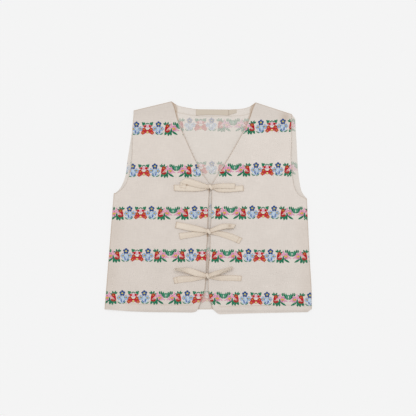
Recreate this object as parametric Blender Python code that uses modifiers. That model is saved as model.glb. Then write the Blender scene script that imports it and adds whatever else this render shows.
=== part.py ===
"""Child's sleeveless waistcoat in natural linen, laid flat on its back, its two fronts tied with
three tape bows. Run in Blender: it clears the scene's objects and builds the garment's pieces.

The garment lies in the XY plane with its neck towards +Y. The wearer's right side lies at -X and
the wearer's left side at +X. The tables are in millimetres, measured from the middle of the
garment's outline, and the meshes are in metres with the surface it lies on at Z = 0.
"""

from collections import namedtuple
from math import atan2, cos, exp, hypot, pi, radians, sin

import bmesh
import bpy
from mathutils import Matrix, Vector

MM = 0.001

# Cloth, in millimetres
CLOTH_WALL = 1.2
TAPE_WALL = 1.0
LABEL_WALL = 1.0
SEAM_GAP = 0.3
SHARP_EDGE = 40

# How the fronts lie on the back
FRONT_AIR = 1.6
SEAM_ROUND = 7.0
BACK_CURL = 0.8
CURL_REACH = 9.0
NECK_SHARE = 0.7
NECK_REACH = 9.0
FOLD_CLEAR = 20.0
HEM_DROP = 2.3
HEM_DROP_START = -189.4
HEM_DROP_REACH = 5.0

# Mesh steps of a panel
LOW_ROWS = 19
HIGH_ROWS = 18
ROW_CROWDING = 1.3
FRONT_COLUMNS = 18
BACK_COLUMNS = 32
EDGE_CROWDING = 0.45
SHOULDER_SHARE = 0.25
OUTLINE_STEPS = 8
NECKLINE_STEPS = 6
LABEL_ROWS = 2
LABEL_COLUMNS = 6

# Bows
LOOP_RADIUS = 0.75
RUN_STEPS = 3
TURN_ANGLES = (45, 90, 135)
KNOT_WIDTH = 9.4
KNOT_LENGTH = 9.0
KNOT_HEIGHT = 5.6
KNOT_LIFT = 1.7
KNOT_SQUARENESS = 0.62
KNOT_WRAP = 0.09
KNOT_WRAP_TURN = 130
KNOT_SEGMENTS = 14
KNOT_RINGS = 9
ROOT_WIDTH = 6.0
ROOT_LENGTH = 3.2
ROOT_START = 2.1
ROOT_LIFT = 0.85

Point = namedtuple("Point", "x y")
Fold = namedtuple("Fold", "x y half_length half_width turn height")
Station = namedtuple("Station", "x y lift across tilt width")
Bow = namedtuple("Bow", "name knot limbs")
Limb = namedtuple("Limb", "name doubled stations")
Panel = namedtuple("Panel", "hem top low_left low_right high_left high_right columns")

# Corners of the outline
RIGHT_HEM_CORNER = Point(-192.4, -188.3)
RIGHT_UNDERARM = Point(-175.3, 27.2)
RIGHT_SHOULDER_TIP = Point(-138.3, 180.9)
RIGHT_NECK_POINT = Point(-68.2, 197.8)
LEFT_HEM_CORNER = Point(192.4, -187.0)
LEFT_UNDERARM = Point(183.4, 17.2)
LEFT_SHOULDER_TIP = Point(155.4, 174.0)
LEFT_NECK_POINT = Point(88.4, 195.8)
BACK_HEM = -188.8

RIGHT_SIDE = [RIGHT_HEM_CORNER, RIGHT_UNDERARM]
LEFT_SIDE = [LEFT_HEM_CORNER, Point(191.9, -147.8), Point(187.9, -82.5), LEFT_UNDERARM]

# Armholes, from the underarm up to the shoulder
RIGHT_ARMHOLE_FRONT = [
    RIGHT_UNDERARM,
    Point(-169.5, 28.3),
    Point(-156.0, 39.2),
    Point(-147.0, 59.8),
    Point(-142.0, 89.6),
    Point(-140.3, 140.0),
    RIGHT_SHOULDER_TIP,
]
RIGHT_ARMHOLE_BACK = [
    RIGHT_UNDERARM,
    Point(-171.8, 28.0),
    Point(-161.9, 39.2),
    Point(-153.9, 59.8),
    Point(-150.0, 89.6),
    Point(-142.0, 140.0),
    RIGHT_SHOULDER_TIP,
]
LEFT_ARMHOLE_FRONT = [
    LEFT_UNDERARM,
    Point(169.9, 22.8),
    Point(161.4, 35.6),
    Point(157.1, 55.5),
    Point(153.9, 91.0),
    Point(154.8, 119.5),
    Point(154.8, 150.9),
    LEFT_SHOULDER_TIP,
]
LEFT_ARMHOLE_BACK = [
    LEFT_UNDERARM,
    Point(174.2, 29.9),
    Point(169.9, 48.5),
    Point(166.7, 76.9),
    Point(164.5, 119.5),
    Point(162.9, 148.0),
    Point(162.1, 165.6),
]

# Front edges below the V, from the hem up
RIGHT_FRONT_EDGE = [
    Point(-18.9, -188.9),
    Point(-12.6, -171.4),
    Point(-7.9, -157.0),
    Point(-4.8, -132.7),
    Point(-3.4, -100.0),
    Point(-3.0, -74.7),
    Point(-1.4, -43.6),
    Point(-0.3, -13.3),
    Point(1.4, 31.3),
    Point(3.1, 42.7),
]
LEFT_FRONT_EDGE = [
    Point(9.6, -188.9),
    Point(4.2, -174.6),
    Point(0.4, -156.9),
    Point(0.3, -117.1),
    Point(3.6, -87.7),
    Point(4.9, -51.6),
    Point(6.2, -13.3),
    Point(6.6, 31.3),
    Point(7.0, 42.7),
]

# V neck, from the first bow up to the neck point
RIGHT_V = [
    RIGHT_FRONT_EDGE[-1],
    Point(-7.0, 58.3),
    Point(-21.3, 82.5),
    Point(-42.5, 128.1),
    Point(-56.8, 162.3),
    Point(-63.1, 186.5),
    RIGHT_NECK_POINT,
]
LEFT_V = [
    LEFT_FRONT_EDGE[-1],
    Point(19.1, 62.6),
    Point(41.8, 98.3),
    Point(64.6, 139.4),
    Point(76.0, 162.3),
    Point(83.0, 183.7),
    LEFT_NECK_POINT,
]

# Hems, from -X to +X, with the cut-away corners at the centre front
RIGHT_HEM = [
    RIGHT_HEM_CORNER,
    Point(-145.4, -192.2),
    Point(-107.0, -193.7),
    Point(-30.0, -194.6),
    Point(-23.3, -193.0),
    RIGHT_FRONT_EDGE[0],
]
LEFT_HEM = [
    LEFT_FRONT_EDGE[0],
    Point(16.6, -196.0),
    Point(21.1, -197.8),
    Point(77.8, -196.0),
    Point(185.0, -193.7),
    LEFT_HEM_CORNER,
]
BACK_NECKLINE = [
    RIGHT_NECK_POINT,
    Point(-55.3, 190.0),
    Point(-39.7, 186.5),
    Point(-22.6, 183.7),
    Point(9.0, 182.0),
    Point(56.1, 183.7),
    Point(74.5, 187.2),
    LEFT_NECK_POINT,
]

# Largest soft folds of the fronts: ridges and troughs, turned from the X axis in degrees
FOLDS = [
    Fold(-160, -137, 22, 6, 75, 1.1),
    Fold(-141, 34, 28, 7, 80, 0.8),
    Fold(-100, -48, 60, 11, 10, 0.6),
    Fold(-62, -112, 42, 10, -14, 0.5),
    Fold(-118, -176, 16, 10, 90, 0.6),
    Fold(-52, -178, 14, 9, 90, 0.7),
    Fold(-104, 118, 34, 10, 68, 0.6),
    Fold(-66, 20, 46, 12, -8, 0.5),
    Fold(144, 168, 16, 6, -18, -0.7),
    Fold(151, 26, 27, 7, 98, 0.8),
    Fold(112, -62, 52, 12, -7, 0.6),
    Fold(60, -118, 44, 10, 12, 0.5),
    Fold(138, -172, 15, 10, 90, 0.6),
    Fold(46, -180, 14, 9, 90, 0.7),
    Fold(106, 112, 36, 10, 108, 0.6),
    Fold(78, 18, 44, 12, 9, 0.5),
    Fold(-7, -84, 26, 8, 90, 0.7),
    Fold(9, -6, 24, 8, 90, 0.7),
    Fold(-16, -172, 20, 9, 62, 0.9),
    Fold(12, -176, 18, 9, 112, 0.9),
]

# Labels at the back neck
NECK_LABEL = [Point(-22.6, 183.2), Point(38.0, 182.6), Point(38.0, 171.6), Point(-22.6, 172.0)]
SIZE_LABEL = [Point(38.5, 182.6), Point(52.9, 183.1), Point(52.9, 176.6), Point(38.5, 172.0)]
LABEL_TURN_IN = 1.0

# Bows, as stations from the knot outwards; each lift is above the cloth
BOWS = [
    Bow(
        "tie_1",
        Point(4.4, 38.8),
        [
            Limb(
                "loop_right",
                True,
                [
                    Station(-5.4, -1.2, 2.6, 90, 0, 7.0),
                    Station(-20.0, -2.6, 1.6, 90, 0, 10.0),
                    Station(-42.0, -2.8, 1.6, 91, 0, 10.8),
                    Station(-67.0, -1.6, 1.7, 94, 0, 10.6),
                ],
            ),
            Limb(
                "loop_left",
                True,
                [
                    Station(5.4, -1.4, 2.6, 90, 0, 7.0),
                    Station(14.0, -3.9, 1.7, 84, 0, 9.6),
                    Station(28.0, -4.5, 1.6, 90, 0, 10.6),
                    Station(60.2, -2.4, 1.7, 92, 0, 10.4),
                ],
            ),
            Limb(
                "tail_right",
                False,
                [
                    Station(-5.4, 0.6, 5.4, 84, 0, 7.0),
                    Station(-22.5, 4.2, 5.6, 70, 0, 11.0),
                    Station(-38.0, 9.2, 5.4, 70, 0, 11.5),
                    Station(-49.4, 11.6, 5.4, 31, 0, 14.0),
                    Station(-50.2, 12.5, 4.7, 31, 0, 14.0),
                    Station(-49.4, 11.6, 4.0, 31, 0, 14.0),
                    Station(-51.9, -1.7, 3.9, -12, 0, 11.2),
                ],
            ),
            Limb(
                "tail_left",
                False,
                [
                    Station(5.4, 0.6, 5.4, 92, 0, 7.0),
                    Station(20.0, 1.8, 4.4, 93, 0, 9.0),
                    Station(45.6, 1.5, 4.1, 90, 0, 9.4),
                ],
            ),
        ],
    ),
    Bow(
        "tie_2",
        Point(0.8, -43.8),
        [
            Limb(
                "loop_right",
                True,
                [
                    Station(-5.4, 1.4, 5.0, 84, 0, 7.0),
                    Station(-18.0, 4.2, 3.6, 79, 0, 10.0),
                    Station(-35.0, 7.2, 2.4, 79, 0, 12.0),
                    Station(-60.0, 12.3, 1.8, 75, 0, 11.6),
                ],
            ),
            Limb(
                "loop_left",
                True,
                [
                    Station(5.4, 2.0, 5.0, 104, 0, 7.0),
                    Station(20.3, 7.2, 4.2, 106, -8, 9.6),
                    Station(33.0, 9.6, 5.2, 104, -36, 10.6),
                    Station(46.3, 8.6, 5.2, 80, -36, 10.6),
                ],
            ),
            Limb(
                "tail_right",
                False,
                [
                    Station(-5.4, -1.6, 2.4, 96, 0, 7.0),
                    Station(-20.0, -4.2, 0.9, 97, 0, 10.0),
                    Station(-54.1, -8.9, 0.9, 101, 0, 11.5),
                ],
            ),
            Limb(
                "tail_left",
                False,
                [
                    Station(5.4, -1.8, 2.4, 86, 0, 7.0),
                    Station(20.0, -4.0, 0.9, 76, 0, 9.6),
                    Station(40.0, -9.5, 0.9, 67, 0, 11.5),
                    Station(59.7, -17.7, 0.9, 60, 0, 11.5),
                ],
            ),
        ],
    ),
    Bow(
        "tie_3",
        Point(-1.4, -126.0),
        [
            Limb(
                "loop_right",
                True,
                [
                    Station(-5.4, 1.4, 5.0, 80, 0, 7.0),
                    Station(-19.3, 4.5, 4.0, 74, -4, 11.0),
                    Station(-32.4, 8.6, 4.4, 74, -22, 11.5),
                    Station(-46.4, 11.4, 6.6, 80, -66, 11.5),
                    Station(-59.8, 12.3, 6.9, 86, -84, 11.5),
                ],
            ),
            Limb(
                "loop_left",
                True,
                [
                    Station(5.4, 1.4, 5.0, 108, -4, 7.0),
                    Station(21.0, 6.0, 6.0, 112, -48, 10.0),
                    Station(34.0, 10.8, 6.8, 112, -72, 11.5),
                    Station(45.8, 15.0, 6.9, 108, -86, 11.5),
                ],
            ),
            Limb(
                "tail_right",
                False,
                [
                    Station(-5.4, -1.8, 2.4, 92, 0, 7.0),
                    Station(-26.0, -5.2, 0.9, 94, 0, 10.0),
                    Station(-45.0, -6.2, 0.9, 95, 0, 12.0),
                    Station(-62.1, -9.3, 0.9, 104, 0, 11.0),
                ],
            ),
            Limb(
                "tail_left",
                False,
                [
                    Station(5.4, -1.9, 2.4, 88, 0, 7.0),
                    Station(22.0, -3.9, 0.9, 89, 0, 9.4),
                    Station(45.0, -4.2, 0.9, 90, 0, 10.0),
                    Station(63.2, -5.0, 0.9, 84, 0, 9.6),
                ],
            ),
        ],
    ),
]

# Finishes: base colour, roughness
LINEN = ("natural_linen", (0.72, 0.64, 0.58), 0.9)
TAPE = ("linen_tape", (0.68, 0.60, 0.50), 0.85)
WOVEN_LABEL = ("woven_label", (0.62, 0.54, 0.46), 0.7)


def clear_scene():
    for obj in list(bpy.data.objects):
        bpy.data.objects.remove(obj, do_unlink=True)


def make_material(finish):
    name, colour, roughness = finish
    material = bpy.data.materials.new(name)
    material.use_nodes = True
    shader = material.node_tree.nodes["Principled BSDF"]
    shader.inputs["Base Color"].default_value = (*colour, 1.0)
    shader.inputs["Roughness"].default_value = roughness
    shader.inputs["Metallic"].default_value = 0.0
    return material


def add_piece(name, builder, material, collection):
    """Makes an object of the bmesh, whose points are in millimetres."""
    bmesh.ops.scale(builder, vec=(MM, MM, MM), verts=builder.verts)
    mesh = bpy.data.meshes.new(name)
    builder.to_mesh(mesh)
    builder.free()
    mesh.shade_smooth()
    mesh.set_sharp_from_angle(angle=radians(SHARP_EDGE))
    mesh.materials.append(material)
    obj = bpy.data.objects.new(name, mesh)
    collection.objects.link(obj)
    return obj


def thicken(obj, wall, offset):
    """Gives an open surface its wall; offset 1 raises it from the surface and 0 centres it."""
    solidify = obj.modifiers.new("wall", "SOLIDIFY")
    solidify.thickness = wall * MM
    solidify.offset = offset
    solidify.use_even_offset = True


def catmull_rom(before, start, end, after, t):
    """A value between start and end on the smooth curve through four values in a row."""
    slope_in = (end - before) / 2
    slope_out = (after - start) / 2
    rise = end - start
    cubic = slope_in + slope_out - 2 * rise
    square = 3 * rise - 2 * slope_in - slope_out
    return start + t * (slope_in + t * (square + t * cubic))


def smooth_rows(rows, steps):
    """Rows of numbers with steps - 1 more between each pair, on a smooth curve."""
    last = len(rows) - 1
    found = []
    for k in range(last):
        window = [rows[max(k - 1, 0)], rows[k], rows[k + 1], rows[min(k + 2, last)]]
        for step in range(steps):
            found.append([catmull_rom(*values, step / steps) for values in zip(*window)])
    found.append(list(rows[last]))
    return found


def at_share(points, share):
    """The point at a share of the whole length of a row of points."""
    lengths = [hypot(b[0] - a[0], b[1] - a[1]) for a, b in zip(points, points[1:])]
    left = share * sum(lengths)
    for k, length in enumerate(lengths):
        if left <= length or k == len(lengths) - 1:
            t = min(left / length, 1.0)
            return Vector(points[k]).lerp(Vector(points[k + 1]), t)
        left -= length
    return Vector(points[-1])


def coons(bottom, top, left, right, s, t):
    """A point of the patch between four edges, each a function of 0 to 1."""
    across = left(t).lerp(right(t), s)
    upward = bottom(s).lerp(top(s), t)
    corners = bottom(0).lerp(bottom(1), s).lerp(top(0).lerp(top(1), s), t)
    return across + upward - corners


def distance_to_line(x, y, points):
    """The distance in millimetres from a place to a row of points joined by straight lines."""
    nearest = None
    for a, b in zip(points, points[1:]):
        length_squared = (b.x - a.x) ** 2 + (b.y - a.y) ** 2
        t = ((x - a.x) * (b.x - a.x) + (y - a.y) * (b.y - a.y)) / length_squared
        t = min(max(t, 0.0), 1.0)
        away = hypot(x - a.x - t * (b.x - a.x), y - a.y - t * (b.y - a.y))
        nearest = away if nearest is None else min(nearest, away)
    return nearest


def rounded(share):
    """Rises from 0 to 1 as a quarter of a round edge does."""
    return sin(min(share, 1.0) * pi / 2)


def seam_distance(x, y):
    """How far a place is from the side seams and the shoulder seams."""
    seams = [
        RIGHT_SIDE,
        LEFT_SIDE,
        [RIGHT_NECK_POINT, RIGHT_SHOULDER_TIP],
        [LEFT_NECK_POINT, LEFT_SHOULDER_TIP],
    ]
    return min(distance_to_line(x, y, seam) for seam in seams)


def fold_height(x, y):
    total = 0.0
    for fold in FOLDS:
        turn = radians(fold.turn)
        dx = x - fold.x
        dy = y - fold.y
        along = (dx * cos(turn) + dy * sin(turn)) / fold.half_length
        beside = (dy * cos(turn) - dx * sin(turn)) / fold.half_width
        total += fold.height * exp(-along * along - beside * beside)
    return total


def neck_distance(x, y):
    """How far a place is from the top of the V neck, where the back's cloth stands up."""
    return min(distance_to_line(x, y, edge[-3:]) for edge in (RIGHT_V, LEFT_V))


def seam_level(x, y):
    """The underside of the cloth that lies flat and curls up along its seams."""
    seam = min(seam_distance(x, y) / CURL_REACH, 1.0)
    return BACK_CURL * (1 - seam) ** 2


def front_air(x, y):
    """The air under the fronts, which rise from their seams in a round edge."""
    return FRONT_AIR * rounded(seam_distance(x, y) / SEAM_ROUND)


def back_underside(x, y):
    """The back lies flat, curls up at its seams and stands up under the fronts at the neck."""
    neck = 1 + cos(pi * min(neck_distance(x, y) / NECK_REACH, 1.0))
    return seam_level(x, y) + front_air(x, y) * NECK_SHARE * neck / 2


def hem_drop(y):
    """How far the fronts' hems sink towards the surface, below the hem of the back."""
    share = min(max((HEM_DROP_START - y) / HEM_DROP_REACH, 0.0), 1.0)
    return HEM_DROP * share * share * (3 - 2 * share)


def front_underside(x, y):
    """The fronts lie on the back with some air, and their soft folds rise from that."""
    folds = fold_height(x, y) * min(seam_distance(x, y) / FOLD_CLEAR, 1.0)
    air = front_air(x, y)
    drop = hem_drop(y) * air / FRONT_AIR
    return seam_level(x, y) + CLOTH_WALL + SEAM_GAP + air + folds - drop


def front_face(x, y):
    return front_underside(x, y) + CLOTH_WALL


def crowded(share):
    """Moves shares of a width towards its two ends, where outlines bend most."""
    eased = (1 - cos(pi * share)) / 2
    return share + EDGE_CROWDING * (eased - share)


def panel_places(panel):
    """Rows of places over a panel, hem to top, each row from -X to +X."""
    hem = straight_edge(panel.hem)
    low_left, low_right = (smooth_edge(edge) for edge in (panel.low_left, panel.low_right))
    high_left, high_right = (smooth_edge(edge) for edge in (panel.high_left, panel.high_right))
    chest = straight_edge([low_left(1), low_right(1)])
    rows = []
    for k in range(LOW_ROWS):
        t = k / LOW_ROWS
        rows.append([coons(hem, chest, low_left, low_right, s, t) for s in panel.columns])
    for k in range(HIGH_ROWS + 1):
        t = (k / HIGH_ROWS) ** ROW_CROWDING
        rows.append([coons(chest, panel.top, high_left, high_right, s, t) for s in panel.columns])
    return rows


def straight_edge(points):
    """A function from a share of an edge to its place, on straight lines between the points."""
    return lambda share: at_share(points, share)


def smooth_edge(points):
    """A function from a share of an edge to its place, on a smooth curve through the points."""
    curve = smooth_rows(points, OUTLINE_STEPS) if len(points) > 2 else points
    return lambda share: at_share(curve, share)


def grid_surface(rows):
    """An open surface through rows of points, each row from -X to +X."""
    builder = bmesh.new()
    verts = [[builder.verts.new(point) for point in row] for row in rows]
    for lower, upper in zip(verts, verts[1:]):
        for k in range(len(lower) - 1):
            builder.faces.new((lower[k], lower[k + 1], upper[k + 1], upper[k]))
    bmesh.ops.recalc_face_normals(builder, faces=builder.faces)
    if sum(face.normal.z for face in builder.faces) < 0:
        bmesh.ops.reverse_faces(builder, faces=builder.faces)
    return builder


def make_panel(name, panel, height, material, collection):
    rows = [
        [Vector((place.x, place.y, height(place.x, place.y))) for place in row]
        for row in panel_places(panel)
    ]
    obj = add_piece(name, grid_surface(rows), material, collection)
    thicken(obj, CLOTH_WALL, 1)
    return obj


def back_top(s):
    """The back's top edge: shoulder, neckline, shoulder."""
    neckline = smooth_rows(BACK_NECKLINE, NECKLINE_STEPS)
    if s < SHOULDER_SHARE:
        return at_share([RIGHT_SHOULDER_TIP, RIGHT_NECK_POINT], s / SHOULDER_SHARE)
    if s > 1 - SHOULDER_SHARE:
        shoulder = [LEFT_NECK_POINT, LEFT_SHOULDER_TIP, LEFT_ARMHOLE_BACK[-1]]
        return at_share(shoulder, (s - 1 + SHOULDER_SHARE) / SHOULDER_SHARE)
    return at_share(neckline, (s - SHOULDER_SHARE) / (1 - 2 * SHOULDER_SHARE))


def make_back(material, collection):
    panel = Panel(
        hem=[Point(RIGHT_HEM_CORNER.x, BACK_HEM), Point(LEFT_HEM_CORNER.x, BACK_HEM)],
        top=back_top,
        low_left=[Point(RIGHT_HEM_CORNER.x, BACK_HEM), RIGHT_UNDERARM],
        low_right=[Point(LEFT_HEM_CORNER.x, BACK_HEM), *LEFT_SIDE[1:]],
        high_left=RIGHT_ARMHOLE_BACK,
        high_right=LEFT_ARMHOLE_BACK,
        columns=[k / BACK_COLUMNS for k in range(BACK_COLUMNS + 1)],
    )
    return make_panel("back", panel, back_underside, material, collection)


def make_fronts(material, collection):
    columns = [crowded(k / FRONT_COLUMNS) for k in range(FRONT_COLUMNS + 1)]
    right_front = Panel(
        hem=RIGHT_HEM,
        top=straight_edge([RIGHT_SHOULDER_TIP, RIGHT_NECK_POINT]),
        low_left=RIGHT_SIDE,
        low_right=RIGHT_FRONT_EDGE,
        high_left=RIGHT_ARMHOLE_FRONT,
        high_right=RIGHT_V,
        columns=columns,
    )
    left_front = Panel(
        hem=LEFT_HEM,
        top=straight_edge([LEFT_NECK_POINT, LEFT_SHOULDER_TIP]),
        low_left=LEFT_FRONT_EDGE,
        low_right=LEFT_SIDE,
        high_left=LEFT_V,
        high_right=LEFT_ARMHOLE_FRONT,
        columns=columns,
    )
    make_panel("front_right", right_front, front_underside, material, collection)
    make_panel("front_left", left_front, front_underside, material, collection)


def make_label(name, corners, material, collection):
    """A flat woven label sewn on the back's inner face along its top edge."""
    top_left, top_right, low_right, low_left = [Vector(corner) for corner in corners]
    rows = []
    for k in range(LABEL_ROWS + 1):
        up = k / LABEL_ROWS
        start = low_left.lerp(top_left, up)
        end = low_right.lerp(top_right, up)
        row = []
        for step in range(LABEL_COLUMNS + 1):
            across = step / LABEL_COLUMNS
            place = start.lerp(end, across)
            bow = LABEL_TURN_IN * (1 - up) * sin(pi * across)
            row.append(Vector((place.x, place.y + bow, CLOTH_WALL + SEAM_GAP)))
        rows.append(row)
    obj = add_piece(name, grid_surface(rows), material, collection)
    thicken(obj, LABEL_WALL, 1)


def unit(across, tilt):
    """The direction of a tape's width: an angle in plan, then raised by its tilt."""
    flat = Vector((cos(radians(across)), sin(radians(across)), 0.0))
    return flat * cos(radians(tilt)) + Vector((0.0, 0.0, sin(radians(tilt))))


def tape_rows(knot, stations):
    """Pairs of a centre and a half width vector along a tape, above a level cloth."""
    rows = []
    for values in smooth_rows(stations, RUN_STEPS):
        station = Station(*values)
        centre = Vector((knot.x + station.x, knot.y + station.y, station.lift))
        rows.append((centre, unit(station.across, station.tilt) * station.width / 2))
    return rows


def doubled(rows):
    """Carries a tape round a tight turn at its outer end and back under itself."""
    normals = []
    for k, (centre, half) in enumerate(rows):
        before = rows[max(k - 1, 0)][0]
        after = rows[min(k + 1, len(rows) - 1)][0]
        normal = (after - before).cross(half).normalized()
        normals.append(-normal if normal.z < 0 else normal)
    for k in range(1, len(normals)):
        if normals[k].dot(normals[k - 1]) < 0:
            normals[k] = -normals[k]
    heading = (rows[-1][0] - rows[-2][0]).normalized()
    raised = [(c + n * LOOP_RADIUS, half) for (c, half), n in zip(rows, normals)]
    lowered = [(c - n * LOOP_RADIUS, half) for (c, half), n in zip(rows, normals)]
    end, half = rows[-1]
    turn = []
    for angle in TURN_ANGLES:
        out = heading * sin(radians(angle)) * LOOP_RADIUS
        up = normals[-1] * cos(radians(angle)) * LOOP_RADIUS
        turn.append((end + out + up, half))
    return raised + turn + lowered[::-1]


def on_cloth(point):
    """Moves a point above a level cloth up by the height of the fronts' face under it."""
    return point + Vector((0.0, 0.0, front_face(point.x, point.y)))


def make_limb(name, knot, limb, material, collection):
    rows = tape_rows(knot, limb.stations)
    if limb.doubled:
        rows = doubled(rows)
    edges = [[on_cloth(centre - half), on_cloth(centre + half)] for centre, half in rows]
    obj = add_piece(name, grid_surface(edges), material, collection)
    thicken(obj, TAPE_WALL, 0)


def make_root(name, knot, side, material, collection):
    """The end of a tie where it leaves the seam of a front's edge and enters the knot."""
    near = knot.x + side * ROOT_START
    far = near + side * ROOT_LENGTH
    rows = []
    for x in (near, far):
        low = on_cloth(Vector((x, knot.y - ROOT_WIDTH / 2, ROOT_LIFT)))
        high = on_cloth(Vector((x, knot.y + ROOT_WIDTH / 2, ROOT_LIFT)))
        rows.append([low, high])
    obj = add_piece(name, grid_surface(rows), material, collection)
    thicken(obj, TAPE_WALL, 0)


def squared(value):
    """Squares off a sine or cosine, so that a ball becomes a soft lump."""
    size = abs(value) ** KNOT_SQUARENESS
    return size if value >= 0 else -size


def make_knot(name, knot, material, collection):
    """The tied lump: a soft flattened ball, raised along the turn of tape that crosses it."""
    builder = bmesh.new()
    bmesh.ops.create_uvsphere(builder, u_segments=KNOT_SEGMENTS, v_segments=KNOT_RINGS, radius=1.0)
    middle = front_face(knot.x, knot.y) + KNOT_LIFT + KNOT_HEIGHT / 2
    for vert in builder.verts:
        turn = atan2(vert.co.y, vert.co.x)
        flat = hypot(vert.co.x, vert.co.y)
        wrap = 1 + KNOT_WRAP * cos(2 * turn - radians(KNOT_WRAP_TURN))
        x = squared(flat) * cos(turn) * KNOT_WIDTH / 2
        y = squared(flat) * sin(turn) * wrap * KNOT_LENGTH / 2
        z = squared(vert.co.z) * KNOT_HEIGHT / 2
        vert.co = Vector((x, y, z))
    bmesh.ops.transform(
        builder, matrix=Matrix.Translation((knot.x, knot.y, middle)), verts=builder.verts
    )
    add_piece(name, builder, material, collection)


def make_bow(bow, material, collection):
    for limb in bow.limbs:
        make_limb(f"{bow.name}_{limb.name}", bow.knot, limb, material, collection)
    make_root(f"{bow.name}_root_right", bow.knot, -1, material, collection)
    make_root(f"{bow.name}_root_left", bow.knot, 1, material, collection)
    make_knot(f"{bow.name}_knot", bow.knot, material, collection)


def build():
    clear_scene()
    collection = bpy.data.collections.new("embroidered_waistcoat")
    bpy.context.scene.collection.children.link(collection)
    linen = make_material(LINEN)
    tape = make_material(TAPE)
    label = make_material(WOVEN_LABEL)
    make_back(linen, collection)
    make_fronts(linen, collection)
    make_label("neck_label", NECK_LABEL, label, collection)
    make_label("size_label", SIZE_LABEL, label, collection)
    for bow in BOWS:
        make_bow(bow, tape, collection)


build()
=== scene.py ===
"""The looks of the embroidered waistcoat: a child's linen waistcoat laid flat, seen from above.

The sections follow the garment as it is put together: the back, the two fronts, the bands of
embroidery, the sewing, the labels at the neck and the three tied bows. What it lies on comes last.
"""

from collections import namedtuple
from math import cos, pi, radians, sin

import bpy
import numpy as np
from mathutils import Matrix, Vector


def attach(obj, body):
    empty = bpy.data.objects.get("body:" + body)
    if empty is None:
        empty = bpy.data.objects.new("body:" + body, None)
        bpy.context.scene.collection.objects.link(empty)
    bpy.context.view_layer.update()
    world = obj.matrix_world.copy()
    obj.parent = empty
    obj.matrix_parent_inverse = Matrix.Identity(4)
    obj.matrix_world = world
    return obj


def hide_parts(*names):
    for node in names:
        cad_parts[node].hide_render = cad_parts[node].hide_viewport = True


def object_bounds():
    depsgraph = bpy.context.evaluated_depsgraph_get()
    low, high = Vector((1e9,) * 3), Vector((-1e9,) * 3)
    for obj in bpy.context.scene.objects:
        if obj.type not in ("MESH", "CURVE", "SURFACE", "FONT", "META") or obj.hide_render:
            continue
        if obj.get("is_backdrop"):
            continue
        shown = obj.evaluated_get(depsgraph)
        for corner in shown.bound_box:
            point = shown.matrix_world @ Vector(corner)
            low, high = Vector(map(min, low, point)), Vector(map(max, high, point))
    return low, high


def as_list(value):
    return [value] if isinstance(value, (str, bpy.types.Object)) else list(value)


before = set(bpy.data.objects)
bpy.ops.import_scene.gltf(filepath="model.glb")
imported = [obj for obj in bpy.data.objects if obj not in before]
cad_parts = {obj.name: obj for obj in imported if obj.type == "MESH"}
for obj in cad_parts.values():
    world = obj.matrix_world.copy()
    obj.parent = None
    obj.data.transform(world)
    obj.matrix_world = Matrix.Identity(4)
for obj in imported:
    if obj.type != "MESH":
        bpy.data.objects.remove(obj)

cad_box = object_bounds()


# The back panel
# One piece of cream plain-weave linen, cut with the armholes and the neckline and lying face down.
# What shows of it is its wrong side, in the V neck, between the fronts and along the armholes.

MM = 0.001
Point = namedtuple("Point", "x y")
Panel = namedtuple("Panel", "hem top low_left low_right high_left high_right")


def points_of(*places):
    """Points from places given as x and y."""
    return [Point(*place) for place in places]


# The outline, in millimetres from the middle of the laid garment, the wearer's right side at -X
right_hem_corner = Point(-192.4, -188.3)
right_underarm = Point(-175.3, 27.2)
right_shoulder_tip = Point(-138.3, 180.9)
right_neck_point = Point(-68.2, 197.8)
left_hem_corner = Point(192.4, -187)
left_underarm = Point(183.4, 17.2)
left_shoulder_tip = Point(155.4, 174)
left_neck_point = Point(88.4, 195.8)
back_hem = -188.8

right_side = [right_hem_corner, right_underarm]
left_side = points_of(left_hem_corner, (191.9, -147.8), (187.9, -82.5), left_underarm)
right_armhole_back = points_of(
    right_underarm, (-171.8, 28), (-161.9, 39.2), (-153.9, 59.8), (-150, 89.6),
    (-142, 140), right_shoulder_tip,
)
left_armhole_back = points_of(
    left_underarm, (174.2, 29.9), (169.9, 48.5), (166.7, 76.9), (164.5, 119.5), (162.9, 148),
    (162.1, 165.6),
)
right_v = points_of(
    (3.1, 42.7), (-7, 58.3), (-21, 82.5), (-42.1, 128.1), (-56.4, 162.3), (-63.1, 186.5),
    right_neck_point,
)
left_v = points_of(
    (7, 42.7), (18.8, 62.6), (41.4, 98.3), (64.2, 139.4), (75.6, 162.3), (83, 183.7),
    left_neck_point,
)
right_front_edge = points_of(
    (-18.9, -188.9), (-12.6, -171.4), (-7.4, -157), (-4.4, -132.7), (-3.4, -100),
    (-2.7, -74.7), (-1.6, -60), (-1.1, -43.6), (-0.3, -13.3), (0.8, 10), (2.1, 31.3),
    right_v[0],
)
left_front_edge = points_of(
    (9.6, -188.9), (4.2, -174.6), (0.4, -156.9), (0.3, -117.1), (3, -87.7), (3.9, -51.6),
    (4.8, -28), (5.8, -13.3), (6.6, 10), (6.6, 31.3), left_v[0],
)
back_neckline = points_of(
    right_neck_point, (-55.3, 190), (-39.7, 186.5), (-22.6, 183.7), (9, 182), (56.1, 183.7),
    (74.5, 187.2), left_neck_point,
)

# How the layers lie, in millimetres
cloth_wall = 1.2
seam_gap = 0.3
front_air = 1.6
seam_round = 7.0
back_curl = 0.8
curl_reach = 9.0
neck_share = 0.7
neck_reach = 9.0
fold_clear = 20.0
hem_drop_middle = -191.9
hem_drop = 2.3
hem_drop_reach = 5.0
floss_height = 0.3


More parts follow.
